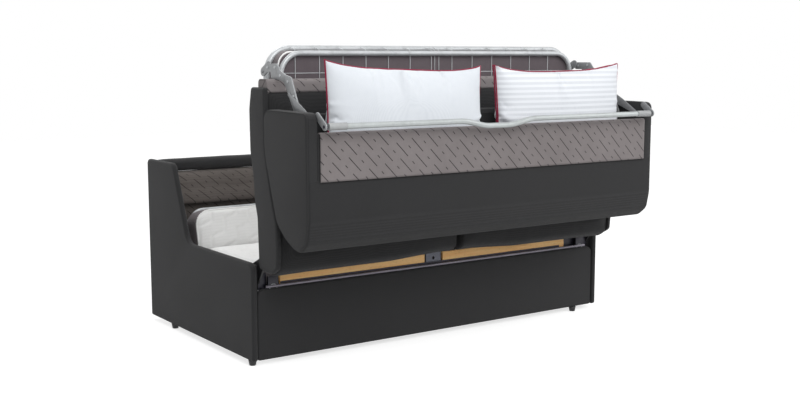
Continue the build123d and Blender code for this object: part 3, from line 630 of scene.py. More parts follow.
# Pieces of the frame that follow the thinner arms and the wider seat
guide = {"back": 0.128, "middle": 0.610, "rollerHalf": 0.021, "rollerLow": 0.25, "rollerHigh": 0.34}
seatEnd = {"from": 0.8, "wider": 0.006}
frontBoard = {"down": 0.011, "leftFrom": -0.3, "leftOver": 0.024, "rightTo": 0.3, "rightOver": 0.020}
boardEnd = {"from": 0.6, "over": 0.030}
bracket = {"over": 0.027, "down": 0.008}
endBracket = {"face": 0.020, "front": -0.002, "depthShare": 0.3}
bow = {"rise": 0.012, "from": 0.75, "over": 0.3}
foot = {"back": 0.16, "panelFrom": -0.83, "panelTo": -0.7, "armFrom": 0.86, "armDepth": 0.2}


def moveGuide(points):
    points[:, 1] += guide["back"]


def moveRollers(points):
    rollers = np.abs(points[:, 1] - at(guide["middle"])) < guide["rollerHalf"]
    rollers &= (points[:, 2] > guide["rollerLow"]) & (points[:, 2] < guide["rollerHigh"])
    points[rollers, 1] += guide["back"]


def widenBoard(points):
    far = np.abs(points[:, 0]) > seatEnd["from"]
    points[far, 0] += np.sign(points[far, 0]) * seatEnd["wider"]


def lowerLeft(points):
    points[:, 2] -= frontBoard["down"]
    points[points[:, 0] > frontBoard["leftFrom"], 0] += frontBoard["leftOver"]


def lowerRight(points):
    points[:, 2] -= frontBoard["down"]
    points[points[:, 0] < frontBoard["rightTo"], 0] += frontBoard["rightOver"]
    points[points[:, 0] > boardEnd["from"], 0] += boardEnd["over"]


def moveBracket(points):
    points[:, 0] += bracket["over"]
    points[:, 2] -= bracket["down"]


def raiseBow(points):
    points[:, 2] += bow["rise"] * np.clip((points[:, 2] - bow["from"]) / bow["over"], 0, 1)


def moveFeet(points):
    # the left foot of the panel and the right foot of the arm stand further back
    panelFoot = (points[:, 0] < foot["panelTo"]) & (points[:, 0] > foot["panelFrom"])
    points[panelFoot, 1] += foot["back"]
    armFoot = (points[:, 0] > foot["armFrom"]) & (points[:, 1] < at(foot["armDepth"]))
    points[armFoot, 1] += foot["back"]


def setBack(points):
    face = at(endBracket["face"])
    front = points[:, 1] < face
    points[front, 1] = face + (points[front, 1] - at(endBracket["front"])) * endBracket["depthShare"]


for side in hands:
    takeOver(side + "_lift_guide", side + "Guide", "base", darkSteel, "dark_steel", moveGuide)
    takeOver(side + "_roller_bracket", side + "Rollers", "carriage", greySteel, "grey_steel", moveRollers)
takeOver("left_end_bracket", "leftBracket", "base", inkSteel, "black_plastic", setBack)
takeOver("right_end_bracket", "rightBracket", "base", inkSteel, "black_plastic", setBack)
takeOver("left_front_board", "leftBoard", "base", beech, "beech_wood", lowerLeft)
takeOver("right_front_board", "rightBoard", "base", beech, "beech_wood", lowerRight)
takeOver("centre_bracket", "centrePlate", "base", bracketSteel, "grey_steel", moveBracket)
takeOver("foot_bow", "footBow", "foot", greySteel, "grey_steel", raiseBow)
takeOver("feet", "shortFeet", "base", blackPlastic, "black_plastic", moveFeet)
takeOver("seat_board", "seatBoard", "seat", charcoal, "charcoal_fabric", widenBoard)
print("arms and boards made")

# Backrest: padded end panels with a piped seam, and the shell between them
endPanel = {
    "inner": 0.836,
    "outer": 0.880,
    "corners": [
        (-0.036, 1.003), (-0.036, 0.850), (-0.096, 0.670), (-0.129, 0.578), (-0.194, 0.528),
        (-0.257, 0.4985), (-0.300, 0.490), (-0.347, 0.528), (-0.362, 0.600), (-0.362, 1.000),
    ],
    "radii": [0.045, 0.30, 0.15, 0.11, 0.14, 0.09, 0.035, 0.045, 0.18, 0.028],
    "edge": 0.010,
    "innerEdge": 0.003,
    "cord": 0.0022,
    "cordIn": (0.0025, 0.0035),
}
for side, hand in hands.items():
    inner, outer = hand * endPanel["inner"], hand * endPanel["outer"]
    board = sideBoard(side + "EndPanel", endPanel, inner, outer)
    roundFace(board, 0, outer, endPanel["edge"], 4)
    roundFace(board, 0, inner, endPanel["innerEdge"], 2)
    dressPiece(board, charcoal, "backrest", "charcoal_fabric", side + "_end_panel")
    across, within = endPanel["cordIn"]
    rim = insetLoop(roundOutline(fromSide(endPanel["corners"]), endPanel["radii"]), within)
    cord = np.column_stack([np.full(len(rim), hand * (endPanel["outer"] - across)), rim])
    weld(side + "PanelCord", cord, endPanel["cord"], True, charcoal, "backrest", "charcoal_fabric")

shell = {
    "half": 0.8362,
    "corners": [
        (-0.3622, 0.600), (-0.3622, 0.925), (-0.352, 0.925), (-0.352, 0.540), (-0.190, 0.540),
        (-0.190, 0.5305), (-0.2570, 0.4990), (-0.300, 0.4905), (-0.347, 0.5285),
    ],
    "radii": [0.18, 0.0045, 0.0045, 0.002, 0.002, 0.002, 0.09, 0.035, 0.045],
}
shellPart = sideBoard("backShell", shell, -shell["half"], shell["half"])
dressPiece(shellPart, charcoal, "backrest", "charcoal_fabric", "back_shell")
cover = {
    "half": 0.8695,
    "corners": [
        (-0.3632, 0.757), (-0.3632, 0.600), (-0.3482, 0.5275), (-0.3003, 0.4888),
        (-0.2570, 0.4972), (-0.1940, 0.5268), (-0.1940, 0.5298), (-0.2580, 0.5010),
        (-0.2995, 0.4935), (-0.3455, 0.530), (-0.3595, 0.601), (-0.3595, 0.757),
    ],
    "radii": [0.0012, 0.181, 0.046, 0.036, 0.09, 0.0012, 0.0012, 0.09, 0.033, 0.043, 0.178, 0.0012],
}
coverPart = sideBoard("frontCover", cover, -cover["half"], cover["half"])
dressPiece(coverPart, charcoal, "backrest", "charcoal_fabric")

# Sides of the seat: one smooth cover over the board, the cushion and the side pad
seatSide = {
    "inner": 0.862,
    "outer": 0.8805,
    "corners": [
        (-0.045, 1.082), (-0.045, 0.850), (-0.093, 0.670), (-0.125, 0.578), (-0.133, 0.474), (-0.127, 0.404),
        (-0.080, 0.377), (0.016, 0.380), (0.022, 0.520), (0.025, 0.585), (0.043, 0.640), (0.052, 0.740),
        (0.075, 0.840), (0.078, 1.000), (0.060, 1.083),
    ],
    "radii": [0.010, 0.3, 0.12, 0.12, 0.25, 0.022, 0.04, 0.02, 0.1, 0.05, 0.05, 0.12, 0.1, 0.1, 0.012],
    "edge": 0.009,
}
for side, hand in hands.items():
    board = sideBoard(side + "SeatSide", seatSide, hand * seatSide["inner"], hand * seatSide["outer"])
    roundFace(board, 0, hand * seatSide["outer"], seatSide["edge"], 4)
    dressPiece(board, charcoal, "seat", "charcoal_fabric")
print("backrest made")

# Every pad waits here for one shared cloth run
waiting = []


def waitForCloth(piece, pressure, cap, stiffness, after):
    waiting.append({"piece": piece, "pressure": pressure, "cap": cap, "stiffness": stiffness, "after": after})


def swellAll():
    # one cloth run for all pads; no point moves further than the cap of its pad
    for pad in waiting:
        piece = pad["piece"]
        pad["before"] = pointsOf(piece)
        cloth = piece.modifiers.new("Cloth", "CLOTH")
        cloth.settings.quality = 5
        cloth.settings.mass = 0.15
        cloth.settings.tension_stiffness = pad["stiffness"]
        cloth.settings.compression_stiffness = pad["stiffness"]
        cloth.settings.shear_stiffness = pad["stiffness"] / 3
        cloth.settings.bending_stiffness = 0.3
        cloth.settings.use_pressure = True
        cloth.settings.uniform_pressure_force = pad["pressure"]
        cloth.settings.effector_weights.gravity = 0
    scene = bpy.context.scene
    for step in range(1, 21):
        scene.frame_set(step)
    deps = bpy.context.evaluated_depsgraph_get()
    for pad in waiting:
        piece = pad["piece"]
        swollen = piece.evaluated_get(deps)
        points = np.empty(len(swollen.data.vertices) * 3)
        swollen.data.vertices.foreach_get("co", points)
        move = points.reshape(-1, 3) - pad["before"]
        length = np.linalg.norm(move, axis=1)
        print("swelled", piece.name, "by", round(float(length.max()), 4))
        share = np.minimum(1, pad["cap"] / np.maximum(length, 1e-9))
        piece.modifiers.clear()
        placePoints(piece, pad["before"] + move * share[:, None])
    scene.frame_set(1)


def fitInto(points, low, high):
    # stretches a pad a little, so that it fills the space of its solid
    lowest, highest = points.min(0), points.max(0)
    return np.array(low) + (points - lowest) / (highest - lowest) * (np.array(high) - np.array(low))


# Pillows: two sewn cotton sheets, blown up, with crimson cord in their seams
pillow = {
    "top": {"left": (0.020, -0.018, -0.005), "right": (-0.006, -0.030, 0.004)},
    "draw": 0.007,
    "lean": {"left": 0.004, "right": 0.013},
    "shift": {"left": -0.004, "right": 0.030},
    "ears": {"left": 4, "right": 3},
    "cell": 0.0085,
    "gusset": {"left": 0.008, "right": 0.022},
    "pressure": 12,
    "cap": 0.11,
    "stiffness": 12,
    "cord": 0.0030,
    "thickness": 0.15,
    "belly": 0.02,
    "crease": 0.0012,
    "creaseSize": 0.09,
}
pillowCotton = {"left": cotton, "right": stripedCotton}


def drawOutline(points, rim, low, high, side):
    # brings the seam to the outline of the pillow: ears at the corners, sides a little drawn in
    left, middle, right = pillow["top"][side]
    centre, size = (low + high) / 2, high - low
    for _ in range(3):
        ring = points[rim]
        turned = np.abs((ring[:, 0] - centre.x) / size.x) > np.abs((ring[:, 2] - centre.z) / size.z)
        for sideways in (True, False):
            chosen = ring[turned == sideways]
            main, other = (0, 2) if sideways else (2, 0)
            ends = []
            for sign in (-1, 1):
                line = chosen[np.sign(chosen[:, main] - centre[main]) == sign]
                line = line[np.argsort(line[:, other])]
                ends.append(np.interp(points[:, other], line[:, other], line[:, main]))
            along = (points[:, other] - centre[other]) / (size[other] / 2)
            if sideways:
                draw = pillow["draw"] * (1 - along ** 2)
                aims = low.x + draw - pillow["lean"][side] * along, high.x - draw
            else:
                ears = middle + (right - left) / 2 * along
                ears += ((left + right) / 2 - middle) * np.abs(along) ** pillow["ears"][side]
                aims = low.z + 0 * along, high.z + ears
            share = np.clip((points[:, main] - ends[0]) / (ends[1] - ends[0]), 0, 1)
            points[:, main] = aims[0] + share * (aims[1] - aims[0])
    return points


def sewPillow(side):
    low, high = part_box(side + "_pillow")
    low.x += pillow["shift"][side]
    middle = (low + high) / 2
    size = high - low
    gusset = pillow["gusset"][side]
    bpy.ops.object.select_all(action="DESELECT")
    bpy.ops.mesh.primitive_grid_add(
        x_subdivisions=round(size.x / pillow["cell"]),
        y_subdivisions=round(size.z / pillow["cell"]),
        size=1,
        location=(middle.x, middle.y - gusset / 2, middle.z),
        rotation=(math.pi / 2, 0, 0),
    )
    piece = bpy.context.object
    piece.name = side + "Pillow"
    piece.scale = (size.x, size.z, 1)
    bpy.ops.object.transform_apply(location=True, rotation=True, scale=True)
    choose(piece, "faces", lambda spot, normal: True)
    bpy.ops.mesh.extrude_region_move(TRANSFORM_OT_translate={"value": (0, gusset, 0)})
    bpy.ops.mesh.select_all(action="SELECT")
    bpy.ops.mesh.normals_make_consistent(inside=False)
    leaveEdit()
    points = pointsOf(piece)
    away = np.abs(points - np.array(middle))
    onRim = (away[:, 0] > size.x / 2 - 1e-4) | (away[:, 2] > size.z / 2 - 1e-4)
    turns = np.arctan2((points[:, 2] - middle.z) / size.z, (points[:, 0] - middle.x) / size.x)
    rims = []
    for front in (True, False):
        chosen = np.nonzero(onRim & ((points[:, 1] < middle.y) == front))[0]
        rims.append(chosen[np.argsort(turns[chosen])])
    # a bellied start, so that the cloth has a way to go
    rise = (1 - (away[:, 0] / size.x * 2) ** 4) * (1 - (away[:, 2] / size.z * 2) ** 4)
    rise = np.maximum(rise, 0)
    points[:, 1] += np.sign(points[:, 1] - middle.y) * rise * pillow["belly"]
    points[:, 1] += softNoise(points, pillow["creaseSize"], 4) * pillow["crease"]
    placePoints(piece, points)

    def sew():
        half = pillow["thickness"] / 2
        points = fitInto(pointsOf(piece), (low.x, middle.y - half, low.z), (high.x, middle.y + half, high.z))
        points = drawOutline(points, rims[0], low, high, side)
        placePoints(piece, points)
        finishWith(piece, "SUBSURF", levels=1, render_levels=1)
        smooth(piece)
        paintWith(piece, pillowCotton[side])
        settle(piece, "pillows", "pillow_cotton", side + "_pillow")
        sewn = pointsOf(piece)
        seams = rims if side == "right" else rims[:1]
        for count, rim in enumerate(seams):
            ring = sewn[rim]
            outward = ring - ring.mean(0)
            outward[:, 1] = 0
            outward /= np.linalg.norm(outward, axis=1)[:, None]
            ring = ring + outward * pillow["cord"] * 0.5
            name = f"{side}PillowCord{count + 1}"
            weld(name, ring, pillow["cord"], True, crimson, "pillows", "pillow_cotton")

    waitForCloth(piece, pillow["pressure"], pillow["cap"], pillow["stiffness"], sew)


for side in hands:
    sewPillow(side)
print("pillows laid out")

# Cushions of the seat and the backrest, and the pads at the sides of the seat
cushion = {
    "seat": {
        "node": "_seat_cushion", "body": "seat", "span": (0.001, 0.874), "voxel": 0.009,
        "shrink": 0.006, "pressure": 6, "cap": 0.012,
        "sag": {"drop": 0.015, "from": 0.08, "over": 0.25, "top": 0.50, "height": 0.08},
        "corners": [
            (-0.002, 0.372), (-0.002, 1.083), (-0.044, 1.083), (-0.044, 0.850), (-0.092, 0.670),
            (-0.124, 0.578), (-0.133, 0.470), (-0.127, 0.394), (-0.080, 0.366),
        ],
        "radii": [0.006, 0.006, 0.012, 0.3, 0.12, 0.12, 0.25, 0.03, 0.05],
    },
    "back": {
        "node": "_back_cushion", "body": "backrest", "span": (0.001, 0.829), "voxel": 0.010,
        "shrink": 0.007, "pressure": 6, "cap": 0.014,
        "corners": [
            (-0.1795, 0.541), (-0.1795, 1.004), (-0.046, 1.004), (-0.046, 0.850), (-0.098, 0.670),
            (-0.131, 0.578),
        ],
        "radii": [0.004, 0.010, 0.045, 0.3, 0.15, 0.08],
    },
    "side": {
        "node": "_seat_side_pad", "body": "seat", "span": (0.810, 0.876), "voxel": 0.006,
        "shrink": 0.004, "pressure": 5, "cap": 0.008,
        "corners": [
            (0.024, 0.570), (0.042, 0.625), (0.050, 0.740), (0.075, 0.840), (0.078, 1.000), (0.058, 1.083),
            (0.024, 1.083),
        ],
        "radii": [0.004, 0.02, 0.12, 0.10, 0.10, 0.014, 0.004],
    },
}
padRim = 0.008
padStiffness = 15


def padFrom(kind, side):
    # a sewn cover, cut from its side view, that starts a little small and swells to its size
    given = cushion[kind]
    inner, outer = (hands[side] * place for place in given["span"])
    piece = sideBoard(side + kind.title() + "Pad", given, inner, outer)
    roundRims(piece, 0, padRim)
    before = pointsOf(piece)
    low, high = before.min(0), before.max(0)
    finishWith(piece, "REMESH", mode="VOXEL", voxel_size=given["voxel"])
    finishWith(piece, "DISPLACE", strength=-given["shrink"], mid_level=0)
    finishWith(piece, "SMOOTH", factor=0.5, iterations=3)

    def dress():
        points = pointsOf(piece)
        points = np.clip(points, low - 0.001, high + 0.001)
        if "sag" in given:
            # the front edge hangs a little lower away from the middle of the sofa bed
            sag = given["sag"]
            along = (np.abs(points[:, 0]) - sag["from"]) / sag["over"]
            down = (sag["top"] - points[:, 2]) / sag["height"]
            points[:, 2] -= sag["drop"] * np.clip(along, 0, 1) * np.clip(down, 0, 1)
        placePoints(piece, points)
        finishWith(piece, "SMOOTH", factor=0.5, iterations=2)
        if given["voxel"] > 0.008:
            finishWith(piece, "SUBSURF", levels=1, render_levels=1)
        smooth(piece)
        paintWith(piece, charcoal)
        settle(piece, given["body"], "charcoal_fabric", side + given["node"])

    waitForCloth(piece, given["pressure"], given["cap"], padStiffness, dress)


for kind in cushion:
    for side in hands:
        padFrom(kind, side)
print("cushions laid out")

swellAll()
for pad in waiting:
    pad["after"]()
print("pads sewn")

# Mattress: foam parts with sewn lines on the sleeping side, a grey border and white piping
mattress = {
    "voxel": 0.006,
    "edge": 0.022,
    "corner": 0.055,
    "pitch": 0.075,
    "lean": math.radians(48),
    "wave": 0.016,
    "waveLength": 0.1,
    "depth": 0.0045,
    "width": 0.006,
    "piping": 0.0035,
    "face": 0.006,
    "crown": 0.002,
    "uneven": 0.0012,
    "unevenSize": 0.16,
    "border": 0.004,
    "belly": 0.002,
    "borderUneven": 0.001,
    "borderUnevenSize": 0.12,
}


def sewnLines(across, up):
    # how far the stitches pull the cloth in, at places on the sleeping side
    along = across * math.cos(mattress["lean"]) + up * math.sin(mattress["lean"])
    side = up * math.cos(mattress["lean"]) - across * math.sin(mattress["lean"])
    step = (along / mattress["waveLength"]) % 1
    zigzag = np.where(step < 0.6, step / 0.6, (1 - step) / 0.4) - 0.5
    away = (side + zigzag * mattress["wave"] * 2) / mattress["pitch"]
    away = np.abs(away - np.round(away)) * mattress["pitch"]
    pulled = np.exp(-((away / mattress["width"]) ** 2))
    return mattress["depth"] * (pulled - 0.35)


def mattressPart(name, low, high, axis, sign, corner, voxel=None, borderFrom=0.6):
    # a foam block whose sleeping side looks along one axis
    low, high = Vector(low), Vector(high)
    piece = block(name, low, high)
    if corner:
        roundEdges(piece, lambda spot, way: abs(way[axis]) > 0.9, corner, 6)
    rims = (low[axis], high[axis])

    def onRim(spot, way):
        return min(abs(spot[axis] - rim) for rim in rims) < 1e-4 and abs(way[axis]) < 0.1

    roundEdges(piece, onRim, mattress["edge"], 4)
    finishWith(piece, "REMESH", mode="VOXEL", voxel_size=voxel or mattress["voxel"])
    points = pointsOf(piece)
    up = 2 if axis == 1 else 1
    faceHeight = high[axis] if sign > 0 else low[axis]
    flat = np.clip(1 - np.abs(points[:, axis] - faceHeight) / mattress["face"], 0, 1)
    size = high - low
    across = np.abs(points[:, 0] / (size.x / 2))
    upward = np.abs((points[:, up] - (low[up] + high[up]) / 2) / (size[up] / 2))
    crown = 1 - np.maximum(across, upward) ** 6
    lift = mattress["crown"] * crown - sewnLines(points[:, 0], points[:, up])
    lift += mattress["uneven"] * softNoise(points, mattress["unevenSize"], 7)
    points[:, axis] += sign * lift * flat
    # the border bellies a little between its two seams
    belly = np.sin(math.pi * np.clip((points[:, axis] - low[axis]) / size[axis], 0, 1))
    for other in (0, up):
        side = points[:, other] - (low[other] + high[other]) / 2
        outer = np.abs(side) > size[other] / 2 - mattress["border"]
        out = mattress["belly"] * belly - mattress["belly"]
        out += mattress["borderUneven"] * softNoise(points, mattress["borderUnevenSize"], 9)
        points[:, other] += np.sign(side) * outer * out
    placePoints(piece, points)
    finishWith(piece, "SMOOTH", factor=0.4, iterations=1)
    smooth(piece)
    paintWith(piece, ticking, border, underCloth)

    def clothOf(spot, normal):
        if normal[axis] * sign > borderFrom:
            return 0
        return 2 if normal[axis] * sign < -0.6 else 1

    paintFaces(piece, clothOf)
    return piece


def leanBack(points, foot, share):
    # turns upright points about a line across the bed
    turn = math.atan(share)
    y, z = points[:, 1] - foot[0], points[:, 2] - foot[1]
    points[:, 1] = foot[0] + y * math.cos(turn) + z * math.sin(turn)
    points[:, 2] = foot[1] - y * math.sin(turn) + z * math.cos(turn)
    return points


def pipeFace(name, low, high, axis, place, radius, body, lean=None):
    # white piping round one face of a mattress part
    up = 2 if axis == 1 else 1
    points = []
    for across, upward in roundedLoop((low[0], low[up]), (high[0], high[up]), radius):
        point = [across, 0, 0]
        point[axis], point[up] = place, upward
        points.append(point)
    points = np.array(points)
    if lean:
        points = leanBack(points, *lean)
    return weld(name, points, mattress["piping"], True, ticking, body, "mattress_ticking")


seamIn = 0.006
footLow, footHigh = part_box("foot_mattress")
footHigh.z += 0.014
footPart = mattressPart("footMattress", footLow, footHigh, 1, 1, mattress["corner"])
settle(footPart, "foot", "mattress_ticking", "foot_mattress")
for label, place in (("Rear", footHigh.y - seamIn), ("Front", footLow.y + seamIn)):
    inside = Vector((seamIn, 0, seamIn))
    pipeFace("footPiping" + label, footLow + inside, footHigh - inside, 1, place, mattress["corner"], "foot")

midLow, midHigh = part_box("mid_mattress")
mid = {"half": 0.798, "corner": 0.02, "borderFrom": 0.3}
midLow.x, midHigh.x = -mid["half"], mid["half"]
midPart = mattressPart("midMattress", midLow, midHigh, 2, 1, mid["corner"], borderFrom=mid["borderFrom"])
settle(midPart, "carriage", "mattress_ticking", "mid_mattress")
inside = Vector((seamIn, seamIn, 0))
pipeFace("midPiping", midLow + inside, midHigh - inside, 2, midHigh.z - seamIn, mid["corner"], "carriage")

head = {
    "half": 0.830,
    "corner": 0.070,
    "lean": 0.215,
    "foot": (at(0.6566), 0.3),
    "length": 0.239,
    "thickness": 0.122,
    "voxel": 0.0055,
}
headLow = Vector((-head["half"], head["foot"][0], head["foot"][1]))
headHigh = Vector((head["half"], head["foot"][0] + head["thickness"], head["foot"][1] + head["length"]))
headPart = mattressPart("headMattress", headLow, headHigh, 1, -1, head["corner"], head["voxel"])
placePoints(headPart, leanBack(pointsOf(headPart), head["foot"], head["lean"]))
settle(headPart, "carriage", "mattress_ticking", "head_mattress")
inside = Vector((seamIn, 0, seamIn))
headLean = (head["foot"], head["lean"])
for label, place in (("Front", headLow.y + seamIn), ("Rear", headHigh.y - seamIn)):
    low, high = headLow + inside, headHigh - inside
    pipeFace("headPiping" + label, low, high, 1, place, head["corner"], "carriage", headLean)

# The bend: one stretch of mattress between seat and foot, left fixed in place; the roll under it lies on the
# middle of the bed
bend = {"low": 0.452, "rollHigh": 0.47, "overlap": 0.004, "inset": 0.001, "rollInset": 0.002, "voxel": 0.007}
bendLow = Vector((footLow.x + bend["inset"], footLow.y + bend["inset"], bend["low"]))
bendHigh = Vector((footHigh.x - bend["inset"], footHigh.y - bend["inset"], footLow.z + bend["overlap"]))
bendPart = mattressPart("mattressBend", bendLow, bendHigh, 1, 1, 0, bend["voxel"])
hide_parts("mattress_bend")
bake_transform(bendPart)
rollFrom = (footLow.x + bend["rollInset"], footLow.y + bend["rollInset"], midHigh.z - bend["overlap"])
rollTo = (footHigh.x - bend["rollInset"], footHigh.y - bend["rollInset"], bend["rollHigh"])
rollPart = mattressPart("mattressRoll", rollFrom, rollTo, 1, 1, 0, bend["voxel"])
settle(rollPart, "carriage", "mattress_ticking")
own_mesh(rollPart)
print("mattress sewn")

# Back of the base: a pad of lining with a soft crease, under a dark roll; its lining is the darker copy of the
# lining cloth, painted shade
backrest = {
    "half": 0.8955,
    "voxel": 0.008,
    "low": 0.532,
    "thick": 0.048,
    "edge": 0.02,
    "edgeDepth": 0.01,
    "crease": 0.605,
    "creaseDepth": 0.0035,
    "creaseWidth": 0.016,
    "wander": 0.006,
    "wanderSize": 0.5,
    "frontDepth": 0.03,
    "uneven": 0.002,
    "unevenSize": 0.2,
}
padLow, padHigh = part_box("back_pad")
rakeShare = 0.2392
padStart = (-backrest["half"], padLow.y, backrest["low"])
padPart = block("backPad", padStart, (backrest["half"], padLow.y + backrest["thick"], padHigh.z))


def onFrontEdge(spot, way):
    return abs(way.x) > 0.9 and spot.y < padLow.y + backrest["edgeDepth"]


roundEdges(padPart, onFrontEdge, backrest["edge"], 4)
finishWith(padPart, "REMESH", mode="VOXEL", voxel_size=backrest["voxel"])
points = pointsOf(padPart)
front = np.clip(1 - (points[:, 1] - padLow.y) / backrest["frontDepth"], 0, 1)
wander = backrest["wander"] * softNoise(points * np.array((1, 0, 0)), backrest["wanderSize"], 3)
crease = np.exp(-(((points[:, 2] - backrest["crease"] - wander) / backrest["creaseWidth"]) ** 2))
sunk = backrest["creaseDepth"] * crease + backrest["uneven"] * softNoise(points, backrest["unevenSize"], 5)
points[:, 1] += front * (sunk + backrest["uneven"])
points[:, 1] += rakeShare * (points[:, 2] - padLow.z)
placePoints(padPart, points)
finishWith(padPart, "SMOOTH", factor=0.5, iterations=2)
smooth(padPart)
paintWith(padPart, shadedLining)
settle(padPart, "base", "lining_fabric", "back_pad")

rollLow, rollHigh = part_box("back_top_roll")
roll = {
    "radius": 0.026,
    "pucker": 0.0016,
    "puckerSize": 0.15,
    "inset": 0.002,
    "endInset": 0.004,
    "endSize": 0.02,
}
rollStart = (-backrest["half"], rollLow.y, rollLow.z)
topRoll = block("topRoll", rollStart, (backrest["half"], rollHigh.y, rollHigh.z))
roundEdges(topRoll, lambda spot, way: abs(way.x) > 0.9, roll["radius"], 6)
finishWith(topRoll, "REMESH", mode="VOXEL", voxel_size=backrest["voxel"])
points = pointsOf(topRoll)
middle = np.array((rollLow + rollHigh) / 2)
outward = points - middle
outward[:, 0] = 0
outward /= np.maximum(np.linalg.norm(outward, axis=1), 1e-6)[:, None]
ends = np.exp(-((backrest["half"] - np.abs(points[:, 0])) / roll["endSize"]))
shrink = roll["pucker"] * softNoise(points, roll["puckerSize"], 11) - roll["inset"] - roll["endInset"] * ends
points += outward * shrink[:, None]
placePoints(topRoll, points)
finishWith(topRoll, "SMOOTH", factor=0.5, iterations=2)
smooth(topRoll)
paintWith(topRoll, charcoal)
settle(topRoll, "base", "charcoal_fabric", "back_top_roll")
print("back dressed")


# Cloth strips, laid over a path that is drawn from the side
def laySheet(name, half, path, cloth):
    width = half * 2
    path = np.array(path)
    steps = np.linalg.norm(np.diff(path, axis=0), axis=1)
    lengths = np.concatenate([[0], np.cumsum(steps)])
    total = lengths[-1]
    bpy.ops.object.select_all(action="DESELECT")
    bpy.ops.mesh.primitive_grid_add(
        x_subdivisions=round(width / cloth["cell"]),
        y_subdivisions=round(total / cloth["cell"]),
        size=1,
        location=(0, total / 2, 0),
    )
    piece = bpy.context.object
    piece.name = name
    piece.scale = (width, total, 1)
    bpy.ops.object.transform_apply(location=True, rotation=True, scale=True)
    points = pointsOf(piece)
    along = points[:, 1].copy()
    uneven = cloth["waver"] * (1 + softNoise(points, 0.11, cloth["seed"]))
    slope = np.stack([np.gradient(path[:, 0], lengths), np.gradient(path[:, 1], lengths)])
    across = np.stack([np.interp(along, lengths, slope[1]), -np.interp(along, lengths, slope[0])])
    across /= np.linalg.norm(across, axis=0)
    points[:, 1] = np.interp(along, lengths, path[:, 0]) + across[0] * uneven
    points[:, 2] = np.interp(along, lengths, path[:, 1]) + across[1] * uneven
    placePoints(piece, points)
    finishWith(piece, "SOLIDIFY", thickness=cloth["thick"], offset=0)
    smooth(piece)
    return piece, (width, total)


def cornerArc(middle, radius, fromTurn, toTurn, steps=6):
    # part of a circle in side view, as (depth, height) pairs
    turns = [math.radians(fromTurn + (toTurn - fromTurn) * step / steps) for step in range(steps + 1)]
    return [(middle[0] + radius * math.cos(turn), middle[1] + radius * math.sin(turn)) for turn in turns]


strip = {
    "low": 0.752,
    "reach": 0.828,
    "front": -0.364,
    "top": 0.925,
    "lip": 0.006,
    "inside": 0.06,
    "rise": 0.0035,
    "thick": 0.0022,
    "cell": 0.008,
    "seed": 21,
    "waver": -0.0006,
}
lipDepth = at(strip["front"]) + strip["lip"]
lipRadius = strip["lip"] + strip["rise"]
lipHeight = strip["top"] - strip["lip"]
stripPath = [(at(strip["front"]) - strip["rise"], strip["low"])]
stripPath += cornerArc((lipDepth, lipHeight), lipRadius, 180, 0, 12)
stripPath += [(lipDepth + lipRadius, lipHeight - strip["inside"])]
stripPiece, stripFlat = laySheet("liningStrip", strip["reach"], stripPath, strip)
paintWith(stripPiece, lining)
settle(stripPiece, "backrest", "lining_fabric")

bandLow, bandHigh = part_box("seat_rear_band")
band = {
    "radius": 0.012,
    "rise": 0.0015,
    "high": 1.110,
    "front": -0.034,
    "frontLow": 1.064,
    "coreLow": 1.060,
    "coreInset": 0.001,
    "half": 0.862,
    "thick": 0.0022,
    "cell": 0.008,
    "seed": 23,
    "waver": -0.0005,
}
bandHigh.z = band["high"]
bandLow.y = at(band["front"])
bandArc = band["radius"] + band["rise"]
bandLevel = bandHigh.z - band["radius"] + band["rise"]
bandPath = [(bandLow.y - band["rise"], band["frontLow"])]
bandPath += cornerArc((bandLow.y + band["radius"], bandLevel), bandArc, 180, 90)
bandPath += cornerArc((bandHigh.y - band["radius"], bandLevel), bandArc, 90, 0)
bandPath += [(bandHigh.y + band["rise"], bandLow.z)]
bandPiece, bandFlat = laySheet("rearBand", band["half"], bandPath, band)
paintWith(bandPiece, lining)
settle(bandPiece, "seat", "lining_fabric", "seat_rear_band")
coreHalf = band["half"] - band["coreInset"]
bandCore = block("bandCore", (-coreHalf, bandLow.y, band["coreLow"]), (coreHalf, bandHigh.y, bandHigh.z))
roundEdges(bandCore, lambda spot, way: spot.z > bandHigh.z - 1e-4 and abs(way.x) > 0.9, band["radius"], 5)
dressPiece(bandCore, lining, "seat", "lining_fabric")
print("cloth strips laid")

# Rail with a shallow dip, plastic sleeves, and the plates that hold it
rail = {
    "depth": -0.404,
    "level": 0.953,
    "radius": 0.011,
    "end": 0.815,
    "sleeve": 0.074,
    "sleeveRadius": 0.0135,
    "dip": 0.022,
    "dipPlaces": [-0.225, -0.075, 0.012, 0.162],
    "plate": (0.8285, 0.8335),
    "plateTop": (-0.356, 0.988),
    "plateRadius": 0.0145,
    "plateEdge": 0.001,
    "spigot": (0.820, 0.8355),
    "spigotRadius": 0.006,
}


def dipAt(across):
    start, low, lowEnd, end = rail["dipPlaces"]
    down = np.clip((across - start) / (low - start), 0, 1)
    up = np.clip((across - lowEnd) / (end - lowEnd), 0, 1)
    return rail["dip"] * ((1 - math.cos(math.pi * down)) / 2 - (1 - math.cos(math.pi * up)) / 2)


